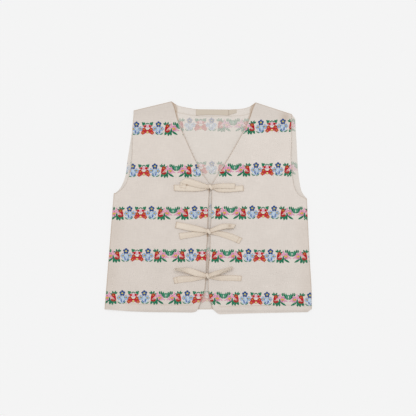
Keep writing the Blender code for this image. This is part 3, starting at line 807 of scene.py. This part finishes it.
def band_stitches(band, outline, margin, samples=9):
    """The chart repeated along a band, kept within an outline less a margin."""
    start, end, colour = chart()
    low, high = min(p[0] for p in outline), max(p[0] for p in outline)
    repeat = 2 * half_repeat * chart_square
    first = int(np.floor((low - band.axis) / repeat)) - 1
    last = int(np.ceil((high - band.axis) / repeat)) + 1
    slope = (band.end_y - band.start_y) / (band.end_x - band.start_x)
    found = []
    for k in range(first, last + 1):
        for side in (1, -1):
            ends = []
            for place in (start, end):
                x = band.axis + k * repeat + side * place[:, 0]
                y = band.start_y + (x - band.start_x) * slope + place[:, 1]
                ends.append(np.stack([x, y], 1))
            found.append((*ends, colour))
    starts, ends, colours = (np.vstack(column) for column in zip(*found))
    keep = np.maximum(starts[:, 0], ends[:, 0]) > low
    keep &= np.minimum(starts[:, 0], ends[:, 0]) < high
    starts, ends, colours = starts[keep], ends[keep], colours[keep]
    share = np.linspace(0, 1, samples)
    at = starts[:, None] + (ends - starts)[:, None] * share[:, None]
    kept = inside(at[..., 0], at[..., 1], outline)
    kept &= distance_to(at[..., 0], at[..., 1], [*outline, outline[0]]) > margin
    any_kept = kept.any(axis=1)
    begin, finish = kept.argmax(axis=1), samples - 1 - kept[:, ::-1].argmax(axis=1)
    any_kept &= finish > begin
    rows = np.arange(len(at))
    return at[rows, begin][any_kept], at[rows, finish][any_kept], colours[any_kept]


def thread_shape(end_fill):
    """The points and triangles of a three-sided thread, one long and one across."""
    bpy.ops.mesh.primitive_cylinder_add(vertices=3, radius=0.5, depth=1, end_fill_type=end_fill)
    thread = bpy.context.object
    points = np.array([v.co for v in thread.data.vertices])
    thread.data.calc_loop_triangles()
    triangles = np.array([t.vertices[:] for t in thread.data.loop_triangles])
    bpy.data.objects.remove(thread)
    return points, triangles


pointed_thread = thread_shape("TRIFAN")
flat_ended_thread = thread_shape("NGON")
taper_length = 0.3
taper_share = 0.3
sunk_into_cloth = 0.06


def stitched_piece(name, starts, ends, ups, dyes, width, height, thread=pointed_thread):
    """One mesh of many stitches, each a three-sided thread.

    The starts and ends are on a face, in millimetres, and ups is the way that the face looks.
    """
    stitch_points, stitch_faces = thread
    count = len(starts)
    along_it = ends - starts
    length = np.linalg.norm(along_it, axis=1)[:, None]
    along_it /= length
    beside = np.cross(ups, along_it)
    pointed = thread is pointed_thread
    taper = np.minimum(taper_length, length * taper_share) if pointed else 0.0
    points = np.empty((count, len(stitch_points), 3))
    colour = np.ones((count, len(stitch_points), 4))
    colour[:, :, :3] = dyes[:, None, :3]
    for k, (px, py, pz) in enumerate(stitch_points):
        tip = np.hypot(px, py) < 0.01
        run = np.where(pz > 0, length, 0.0)
        if not tip:
            run = run - np.sign(pz) * taper
        rise = 0.0 if tip else max((py + 0.25) / 0.75, 0.0) * height
        lift = rise - (0.0 if rise else sunk_into_cloth) + layer_rise * dyes[:, 3:4]
        points[:, k] = starts + along_it * run + beside * (px * width) + ups * lift
    order = np.arange(count)[:, None, None] * len(stitch_points)
    faces = (stitch_faces[None] + order).reshape(-1, 3)
    mesh = bpy.data.meshes.new(name)
    mesh.vertices.add(count * len(stitch_points))
    mesh.vertices.foreach_set("co", (points * MM).ravel())
    mesh.loops.add(len(faces) * 3)
    mesh.loops.foreach_set("vertex_index", faces.ravel())
    mesh.polygons.add(len(faces))
    mesh.polygons.foreach_set("loop_start", np.arange(len(faces)) * 3)
    mesh.update(calc_edges=True)
    mesh.shade_smooth()
    stored = mesh.color_attributes.new("thread_colour", "FLOAT_COLOR", "POINT")
    stored.data.foreach_set("color", colour.ravel())
    piece = bpy.data.objects.new(name, mesh)
    bpy.context.collection.objects.link(piece)
    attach(piece, "root")
    return piece


def on_face(places, face):
    """Places in plan, put on a face."""
    return np.column_stack([places, face(places[:, 0], places[:, 1])])


def band_piece(name, band, outlines, margin, face, up, height, dye, thread):
    """A band's stitches on a face that looks up or down, with their colours as dye gives them."""
    parts = [band_stitches(band, outline, margin) for outline in outlines]
    starts, ends, dyes = (np.vstack(column) for column in zip(*parts))
    ups = np.tile([0.0, 0.0, up], (len(starts), 1))
    places = on_face(starts, face), on_face(ends, face)
    dyes = dye(dyes, starts)
    piece = stitched_piece(name, *places, ups, dyes, stitch_width, height, thread)
    piece.data.materials.append(rayon_floss)
    return piece


def floss_material(name, roughness, specular):
    """Rayon floss: the colour of each thread, with the soft gloss of its twisted filaments."""
    material, shader = new_material(name, roughness, specular, 0.05)
    thread = add_node(material, "Attribute", {"attribute_name": "thread_colour"})
    place = on_object(material)
    twist = add_node(material, "TexNoise", {"Scale": 2600.0, "Detail": 1.0}, place)
    colour_and_relief(material, shader, (thread, "Color"), (twist, "Fac"), 0.25, 0.1)
    return material


rayon_floss = floss_material("rayon_floss", 0.55, 0.25)
# Random draws for each stitch's painted sheen, a little lighter or darker
stitch_sheen_draws = np.random.default_rng(11)
neck_turn = 0.6


def front_outline(panel, turn_left, turn_right):
    """A front's edge all round, moved in where the neckline turns under."""
    share = np.linspace(0, 1, 60)
    return [
        *smooth_curve(panel.low_right),
        *(smooth_curve(panel.high_right) + [turn_right, 0]),
        *along(panel.top, share)[::-1],
        *(smooth_curve(panel.high_left)[::-1] + [turn_left, 0]),
        *smooth_curve(panel.low_left)[::-1],
        *along(panel.hem, share),
    ]


def dyed(dyes, starts):
    """Each stitch a little lighter or darker, as its twist catches the light."""
    shade = stitch_sheen_draws.normal(1.0, 0.06, len(dyes))[:, None]
    return np.hstack([dyes[:, :3] * shade, dyes[:, 3:4]])


def dyed_flat(dyes, starts):
    """The same, with all the stitches in one layer."""
    return dyed(dyes, starts) * [1, 1, 1, 0]


floss = {"right": [], "left": [], "back": []}
for side, bands, outline in (
    ("right", right_bands, front_outline(right_front_panel, 0, -neck_turn)),
    ("left", left_bands, front_outline(left_front_panel, neck_turn, 0)),
):
    for number, band in enumerate(bands, 1):
        name, face = f"floss_band_{number}_{side}", (front_face, 1.0, floss_height)
        floss[side].append(band_piece(name, band, [outline], 0.4, *face, dyed, pointed_thread))


# The reverse of the embroidery shows on the back's wrong side, in the open neck, between the
# fronts and along the armholes: white bobbin thread, with a little of each colour drawn
# through from the right side. Here and on the back's outer face the threads end flat.
bobbin_white = np.array(hex_colour("#e4dfd9")[:3])
colour_drawn_through = 0.4
rolled_colour = 0.45
bobbin_height = 0.1
under_fronts = 5.0
open_neck = points_of(
    (-22, -187), (-14, -150), (-8, 30), (-30, 84), (-66, 165), (-66, 190), (-20, 181), (30, 180),
    (86, 190), (86, 165), (45, 84), (16, 30), (12, -150), (22, -187),
)
back_shows = [open_neck]
for outer, inner, way in (
    (right_armhole_back, right_armhole_front, 1),
    (left_armhole_back, left_armhole_front, -1),
):
    inner = smooth_curve(inner)[::-1] + [way * under_fronts, 0]
    back_shows.append([*smooth_curve(outer), *inner])
back_outline = [
    *back_panel.hem,
    *back_panel.low_right[1:],
    *smooth_curve(back_panel.high_right)[1:],
    *back_top(np.linspace(1, 0, 90)),
    *smooth_curve(back_panel.high_left)[::-1],
]


def drawn_through(dyes, starts):
    """The bobbin's white with a little of each colour, and more where the armhole's edge rolls."""
    from_edge = distance_to(starts[:, 0], starts[:, 1], smooth_curve(right_armhole_back))
    share = colour_drawn_through + rolled_colour * step_at(from_edge, 3.2, 1.5)
    colour = bobbin_white + (dyes[:, :3] - bobbin_white) * share[:, None]
    return np.hstack([colour, np.zeros((len(dyes), 1))])


def back_underside_at(x, y):
    return back_underside(x, y) + floss_height


for number, band in enumerate(back_bands, 1):
    for name, shows, margin, face, up, height, dye in (
        (f"bobbin_band_{number}", back_shows, 0.5, back_face, 1.0, bobbin_height, drawn_through),
        (f"floss_band_{number}_back", [back_outline], 0.9, back_underside_at, -1.0,
         floss_height - 0.03, dyed_flat),
    ):
        settings = (margin, face, up, height, dye, flat_ended_thread)
        floss["back"].append(band_piece(name, band, shows, *settings))


# The sewing
# The hems are machine-sewn 14 mm up with natural cotton thread, in stitches 2.6 mm long. The
# neckline facing of the back is sewn down in the same way.

sewing_pitch = 3.0
sewing_length = 2.6
sewing_width = 0.5
sewing_height = 0.16
sewing_dye = np.array([*hex_colour("#cdbfae")[:3], 0.0])
cotton_thread = floss_material("cotton_thread", 0.8, 0.15)


def sewn_piece(name, starts, ends, ups):
    """Stitches of the sewing's thread."""
    dyes = np.tile(sewing_dye, (len(starts), 1))
    piece = stitched_piece(name, starts, ends, ups, dyes, sewing_width, sewing_height)
    piece.data.materials.append(cotton_thread)
    return piece


def sewing_line(name, path, face):
    """Evenly spaced stitches along a path in plan, on a face that looks up."""
    length = np.hypot(*np.diff(np.array(path, float), axis=0).T).sum()
    starts = np.arange(sewing_pitch, length - sewing_pitch, sewing_pitch)
    ends = starts + sewing_length
    places = [on_face(along(path, at / length), face) for at in (starts, ends)]
    return sewn_piece(name, *places, np.tile([0.0, 0.0, 1.0], (len(starts), 1)))


for side, hem in (("right", right_hem), ("left", left_hem)):
    path = [Point(p.x, p.y + hem_depth) for p in (hem[:-1] if side == "right" else hem[1:])]
    floss[side].append(sewing_line(f"hem_sewing_{side}", path, front_face))
facing_edge = [Point(x, y - neck_facing - 0.6) for x, y in smooth_curve(back_neckline)[6:-6]]
floss["back"].append(sewing_line("neck_facing_sewing", facing_edge, back_face))


# The labels
# A plain woven satin label sewn below the back neck facing, with a small folded size tab beside
# it. Both are left blank.

Label = namedtuple("Label", "name node flat turned_in corners")
labels = [
    Label("blank_neck_label", "neck_label", (0.0606, 0.0112), 1.0,
          points_of((-22.6, 172.0), (38.0, 171.6), (-22.6, 183.2), (38.0, 182.6))),
    Label("blank_size_tab", "size_label", (0.0144, 0.0100), 0.3,
          points_of((38.5, 172.0), (52.9, 176.6), (38.5, 182.6), (52.9, 183.1))),
]
label_lift = 0.3
label_wall = 0.6
rib_pitch = 0.8


def label_piece(label):
    """A flat label lying on the back's wrong side, its lower edge bowed in a little."""
    low_left, low_right, high_left, high_right = np.array(label.corners)

    def place(s, t):
        s, t = s[:, None], t[:, None]
        low = low_left * (1 - s) + low_right * s
        high = high_left * (1 - s) + high_right * s
        flat = low * (1 - t) + high * t
        flat[:, 1:] += label.turned_in * np.sin(pi * s) * (1 - t)
        ripple = 0.12 * np.sin(s[:, 0] * 17) * (1 - t[:, 0])
        lift = back_face(flat[:, 0], flat[:, 1]) + label_lift + np.abs(ripple)
        return np.column_stack([flat, lift])

    def tone(s, t, points):
        ends = step_at(np.minimum(s, 1 - s), 0.012, 0.012) * 0.5
        return ends + 0.35 * step_at(np.minimum(t, 1 - t), 0.06, 0.08)

    piece = grid_piece(label.name, 60, 16, place, tone)
    finish_wall(piece, label_wall, 1, 0.15)
    return piece


def woven_satin(name, light, dark):
    """Damask label cloth: fine level ribs, drawn at 0.8 mm so that they show, with a soft gloss."""
    material, shader = new_material(name, 0.6, 0.35, 0.1)
    wave = {"bands_direction": "Y", "Scale": wave_turn / (rib_pitch * MM), "Distortion": 0.4}
    place = on_object(material)
    ribs = (add_node(material, "TexWave", wave, place), "Fac")
    colour = with_painted_shade(material, light, dark, ribs)
    colour_and_relief(material, shader, colour, ribs, 0.3, 0.1)
    return material


label_satin = woven_satin("woven_label_satin", "#cfc4b5", "#c3b6a5")
for label in labels:
    piece = label_piece(label)
    dress(piece, label.node, label_satin)


# The ties
# Linen tape 11.5 mm wide, folded in four and edge-stitched, one length from the seam of each
# front's edge, tied in three soft bows. Each bow is a knot with two loops and two hemmed tails.

Station = namedtuple("Station", "x y lift across tilt width")
# end_tone is the share of painted shade at a limb's end
Limb = namedtuple("Limb", "name doubled end_tone stations")
Bow = namedtuple("Bow", "name knot wrap_lean limbs")


def limb_of(name, doubled, end_tone, *stations):
    """A limb from its stations, each given as x, y, lift, across, tilt and width."""
    return Limb(name, doubled, end_tone, [Station(*station) for station in stations])


# Stations from the knot outwards: places beside the knot and above the cloth in millimetres, and
# the direction of the tape's width, as an angle in plan and a tilt
bows = [
    Bow("tie_1", Point(4.4, 38.8), 126, [
        limb_of("loop_right", True, 0.4,
            (-5.4, -1.2, 2.6, 90, 0, 7), (-20, -2.6, 1.6, 90, 0, 10),
            (-42, -2.4, 1.6, 91, 0, 11.5), (-67, -1.6, 1.7, 94, 0, 10.6)),
        limb_of("loop_left", True, 0.4,
            (5.4, -1.4, 2.6, 90, 0, 7), (14, -3.9, 1.7, 84, 0, 9.6),
            (28, -4.5, 1.6, 90, 0, 10.6), (60.2, -2.4, 1.7, 92, 0, 10.4)),
        limb_of("tail_right", False, 0.2,
            (-5.4, 0.6, 5.4, 84, 0, 7), (-22.5, 4.2, 4.2, 70, 0, 11),
            (-38, 8.9, 3.9, 70, 0, 12.4), (-49.4, 11.6, 4.7, 31, 0, 14),
            (-50.2, 12.5, 4.1, 31, 0, 14), (-49.4, 11.6, 3.5, 31, 0, 14),
            (-51.9, -1.7, 3.4, -12, 0, 11.2)),
        limb_of("tail_left", False, 0.55,
            (5.4, 0.6, 5.4, 92, 0, 7), (20, 1.8, 4.4, 93, 0, 9),
            (45.6, 1.5, 4.1, 90, 0, 9.4)),
    ]),
    Bow("tie_2", Point(0.8, -43.8), 129, [
        limb_of("loop_right", True, 0.5,
            (-5.4, 1.4, 5, 84, 0, 7), (-18, 4.2, 3.6, 79, 0, 10),
            (-35, 7.2, 2.4, 79, 0, 12), (-60, 12.3, 1.8, 75, 0, 11.6)),
        limb_of("loop_left", True, 0.15,
            (5.4, 2, 5, 104, 0, 7), (20.3, 7.2, 3.8, 106, -8, 9.6),
            (33, 9.6, 4.6, 104, -36, 10.6), (47.4, 9.2, 4.4, 58, -30, 8.8)),
        limb_of("tail_right", False, 0.45,
            (-5.4, -1.6, 2.4, 96, 0, 7), (-20, -4.2, 0.9, 97, 0, 10),
            (-54.1, -8.9, 0.9, 101, 0, 11.5)),
        limb_of("tail_left", False, 0.4,
            (5.4, -1.8, 2.4, 86, 0, 7), (20, -4, 0.9, 76, 0, 9.6),
            (40, -9.5, 0.9, 67, 0, 11.5), (59.7, -17.7, 0.9, 60, 0, 11.5)),
    ]),
    Bow("tie_3", Point(-1.4, -126), 120, [
        limb_of("loop_right", True, 0,
            (-5.4, 1.4, 5, 80, 0, 7), (-19.3, 4.5, 4, 74, -4, 11),
            (-32.4, 8.6, 4, 74, -22, 11.5), (-46.4, 11.4, 5.8, 80, -62, 10.6),
            (-59.8, 12.3, 5.9, 86, -82, 10.4)),
        limb_of("loop_left", True, 0,
            (5.4, 1.4, 5, 108, -4, 7), (21, 6, 5.2, 112, -46, 10),
            (34, 10.8, 6, 112, -70, 10.6), (45.8, 15, 5.9, 108, -84, 10.4)),
        limb_of("tail_right", False, 0.45,
            (-5.4, -1.8, 2.4, 92, 0, 7), (-26, -5.2, 0.9, 94, 0, 10),
            (-45, -6.2, 0.9, 95, 0, 12), (-62.1, -9.3, 0.9, 104, 0, 11)),
        limb_of("tail_left", False, 0.45,
            (5.4, -1.9, 2.4, 88, 0, 7), (22, -3.9, 0.9, 89, 0, 9.4),
            (45, -4.2, 0.9, 90, 0, 10), (63.2, -5, 0.9, 84, 0, 9.6)),
    ]),
]
tape_wall = 0.9
tape_rounding = 0.25
tape_ripple = 0.16
loop_radius = 0.75
pleat_height = 0.45
pleat_reach = 16.0
tail_hem = 5.6
tail_hem_rise = 0.2
into_knot = 0.5
edge_sewing_share = 0.74

# Shade in a turned end and where a tail crosses a loop
Shade = namedtuple("Shade", "x y reach tone")
tape_shades = [Shade(39.9, -33.6, 2.9, 0.6), Shade(-39.3, 42.3, 1.5, 0.9)]


def tape_run(limb):
    """Centres, half widths and face directions along a tape that stays above the cloth."""
    inner = limb.stations[0]
    drawn_in = inner._replace(x=inner.x * into_knot, y=inner.y * into_knot)
    rows = smooth_curve([drawn_in, *limb.stations], 12)
    across, tilt = np.radians(rows[:, 3]), np.radians(rows[:, 4])
    centre = rows[:, :3]
    half = np.stack([np.cos(across) * np.cos(tilt), np.sin(across) * np.cos(tilt), np.sin(tilt)], 1)
    half *= rows[:, 5:6] / 2
    face = np.cross(np.gradient(centre, axis=0), half)
    face /= np.linalg.norm(face, axis=1)[:, None]
    face[0] *= np.sign(face[0, 2])
    for k in range(1, len(face)):
        face[k] *= np.sign(face[k] @ face[k - 1])
    if not limb.doubled:
        return centre, half, face
    heading = centre[-1] - centre[-2]
    heading /= np.linalg.norm(heading)
    angles = np.radians(np.arange(22.5, 180, 22.5))[:, None]
    round_the_end = face[-1] * np.cos(angles) + heading * np.sin(angles)
    centres = [
        centre + face * loop_radius,
        centre[-1] + round_the_end * loop_radius,
        (centre - face * loop_radius)[::-1],
    ]
    halves = [half, np.repeat(half[-1:], len(angles), 0), half[::-1]]
    return np.vstack(centres), np.vstack(halves), np.vstack([face, round_the_end, -face[::-1]])


def tape_piece(name, knot, limb):
    """A tape along a limb, pleated where the knot gathers it, with a hem at a tail's end."""
    centre, half, face = tape_run(limb)
    steps = np.linalg.norm(np.diff(centre, axis=0), axis=1)
    run = np.concatenate([[0], np.cumsum(steps)])
    from_knot = np.hypot(centre[:, 0], centre[:, 1])
    near = np.exp(-np.maximum(from_knot - 5, 0) / pleat_reach)
    hemmed = np.zeros(len(run)) if limb.doubled else (run > run[-1] - tail_hem) * tail_hem_rise
    index = np.arange(len(run))

    def value(s, row):
        return np.interp(s * index[-1], index, row)

    def vector(s, rows):
        return np.stack([value(s, rows[:, k]) for k in range(3)], 1)

    def place(s, t):
        v = 2 * t - 1
        pleats = pleat_height * np.cos(3 * pi * v + from_knot[0]) * value(s, near)
        ripple = tape_ripple * np.sin(value(s, run) / 5.3 + 2 * v + knot.x) * (1 - value(s, near))
        lift = pleats + ripple + value(s, hemmed)
        found = vector(s, centre) + vector(s, half) * v[:, None] + vector(s, face) * lift[:, None]
        found[:, :2] += knot
        found[:, 2] += front_face(found[:, 0], found[:, 1])
        return found

    # Painted shade in tan: along the tape's edges where they turn from the light, at a loop's
    # turned end and a tail's end, in the step of a tail's hem and along a soft lengthwise crease,
    # near the knot's gathers and where a tail crosses a loop
    def tone(s, t, points):
        at = value(s, run)
        edge = 0.4 * value(s, np.abs(face[:, 2])) * step_at(1 - np.abs(2 * t - 1), 0.12, 0.14)
        if limb.doubled:
            end = limb.end_tone * step_at(np.abs(at - run[-1] / 2), 2.0, 1.6)
        else:
            sewn = 0.36 * step_at(np.abs(run[-1] - tail_hem - at), 0.5, 0.6)
            crease = 0.12 * np.exp(-(((2 * t - 0.7) / 0.35) ** 2))
            end = sewn + crease + limb.end_tone * step_at(run[-1] - at, 1.1, 0.8)
        found = edge + end + 0.1 * value(s, near)
        for spot in tape_shades:
            away = np.hypot(points[:, 0] - spot.x, points[:, 1] - spot.y)
            found += spot.tone * np.exp(-((away / spot.reach) ** 2))
        return found

    def edge_sewing():
        """A line of stitches inside each long edge, on the face that looks outwards."""
        starts = np.arange(sewing_pitch, run[-1] - sewing_pitch, sewing_pitch)
        rows = []
        for t in (0.5 - edge_sewing_share / 2, 0.5 + edge_sewing_share / 2):
            ends = starts, starts + sewing_length
            shares = [np.interp(at, run, index) / index[-1] for at in ends]
            ups = vector((shares[0] + shares[1]) / 2, face)
            ups /= np.linalg.norm(ups, axis=1)[:, None]
            lift = ups * tape_wall / 2
            rows.append([*(place(at, np.full(len(at), t)) + lift for at in shares), ups])
        return sewn_piece(f"{name}_sewing", *(np.vstack(column) for column in zip(*rows)))

    piece = grid_piece(name, len(run) - 1, 14, place, tone)
    finish_wall(piece, tape_wall, 0, tape_rounding)
    return piece, run[-1], edge_sewing


tape_linen = linen("linen_tape", "#e8dccd", "#d9ccbd")

knot_width = 7.4
knot_length = 6.4
knot_height = 4.0
knot_lift = 1.7
knot_squareness = 0.62
wrap_reach = 5.0
wrap_rise = 4.6
wrap_width = 5.0
wrap_wall = 0.8
wrap_sunk = 0.4
knot_pleats = 0.07
wrap_pleats = 0.22


def knot_piece(name, knot, lean):
    """The tied lump: gathered cloth, with the turn of tape that crosses it at an angle."""
    bpy.ops.mesh.primitive_uv_sphere_add(segments=40, ring_count=24, radius=1)
    piece = bpy.context.object
    piece.name = piece.data.name = name
    at = points_in(piece)
    turn, flat = np.arctan2(at[:, 1], at[:, 0]), np.hypot(at[:, 0], at[:, 1])

    def square(value):
        return np.sign(value) * np.abs(value) ** knot_squareness

    pleat = 1 + knot_pleats * np.cos(2 * at[:, 1] * 4.4 + 1) * flat
    x = square(flat) * np.cos(turn) * knot_width / 2 * pleat
    y = square(flat) * np.sin(turn) * knot_length / 2
    z = square(at[:, 2]) * knot_height / 2 * pleat
    level = front_face(np.array([knot.x]), np.array([knot.y]))[0] + knot_lift
    move_points(piece, np.stack([x + knot.x, y + knot.y, z + level + knot_height / 2], 1))
    bpy.ops.object.shade_smooth()
    across = radians(lean)

    def place(s, t):
        share, v = 2 * s - 1, 2 * t - 1
        arch = wrap_rise * np.sqrt(np.clip(1 - 0.94 * share * share, 0, 1))
        arch += wrap_pleats * np.cos(3 * pi * v) * (1 - share * share)
        half = wrap_width / 2 * (1 + 0.16 * share) * v
        out = wrap_reach * np.sin(share * pi / 2)
        px = knot.x + out * cos(across) - half * sin(across) + 0.5 * share * share
        py = knot.y + out * sin(across) + half * cos(across)
        return np.stack([px, py, level - wrap_sunk + arch], 1)

    # Painted shade in tan along the wrap's long edges and at its tucked end
    def wrap_painted_shade(s, t, points):
        return 0.45 * step_at(1 - np.abs(2 * t - 1), 0.2, 0.2) + 0.5 * step_at(1 - s, 0.16, 0.16)

    wrap = grid_piece(f"{name}_wrap", 26, 12, place, wrap_painted_shade)
    finish_wall(wrap, wrap_wall, 1, tape_rounding)
    piece.select_set(True)
    bpy.context.view_layer.objects.active = piece
    bpy.ops.object.join()
    return piece


for bow in bows:
    knot = knot_piece(f"{bow.name}_tied_knot", bow.knot, bow.wrap_lean)
    dress(knot, f"{bow.name}_knot", tape_linen)
    for side, way in (("right", -1), ("left", 1)):
        name = f"{bow.name}_tape_root_{side}"
        stations = [(way * x, 0, 0.85, 90, 0, 6.0) for x in (3.6, 5.3)]
        root, _, _ = tape_piece(name, bow.knot, limb_of("root", False, 0.0, *stations))
        dress(root, f"{bow.name}_root_{side}", tape_linen)
    for limb in bow.limbs:
        piece, run, edge_sewing = tape_piece(f"{bow.name}_tape_{limb.name}", bow.knot, limb)
        edge_sewing()
        dress(piece, f"{bow.name}_{limb.name}", tape_linen)
        rests_on = ["linen_front_right" if limb.name.endswith("right") else "linen_front_left"]
        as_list(rests_on)


# The surface, the light and the camera
# A plain pale table top, lit a little from below so that it takes hardly any shadow, under a
# large soft box, and seen from straight above as in a flat lay.

view_width = 774 * MM
lens = 100.0
sensor = 36.0

bpy.ops.mesh.primitive_plane_add(size=6.0, location=(0, 0, -0.0002))
floor = bpy.context.object
floor.name = "table_top"
bpy.ops.object.transform_apply(location=True, rotation=False, scale=False)
opal, shader = new_material("opal_acrylic", 0.9, 0.1)
shader.inputs["Base Color"].default_value = (0.35, 0.35, 0.35, 1)
shader.inputs["Emission Color"].default_value = (1, 1, 1, 1)
shader.inputs["Emission Strength"].default_value = 0.55
floor.data.materials.append(opal)
floor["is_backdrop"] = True

bpy.ops.object.light_add(type="SUN", location=(-0.06, 0.34, 1.6))
soft_box = bpy.context.object
soft_box.data.energy = 1.44
soft_box.data.color = (0.98, 1.0, 1.035)
soft_box.data.angle = radians(50)
soft_box.rotation_euler = (-soft_box.location).to_track_quat("-Z", "Y").to_euler()

world = bpy.data.worlds.new("studio")
bpy.context.scene.world = world
world.use_nodes = True
world.node_tree.nodes["Background"].inputs["Color"].default_value = (1.015, 1.0, 0.973, 1)
world.node_tree.nodes["Background"].inputs["Strength"].default_value = 0.56
bpy.context.scene.view_settings.view_transform = "Standard"

bpy.ops.object.camera_add(location=(-0.28 * MM, -0.28 * MM, view_width * lens / sensor))
camera = bpy.context.object
camera.data.lens = lens
camera.data.sensor_width = sensor
bpy.context.scene.camera = camera

boxes = {"cad": cad_box, "scene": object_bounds()}
{name: [list(corner) for corner in box] for name, box in boxes.items()}
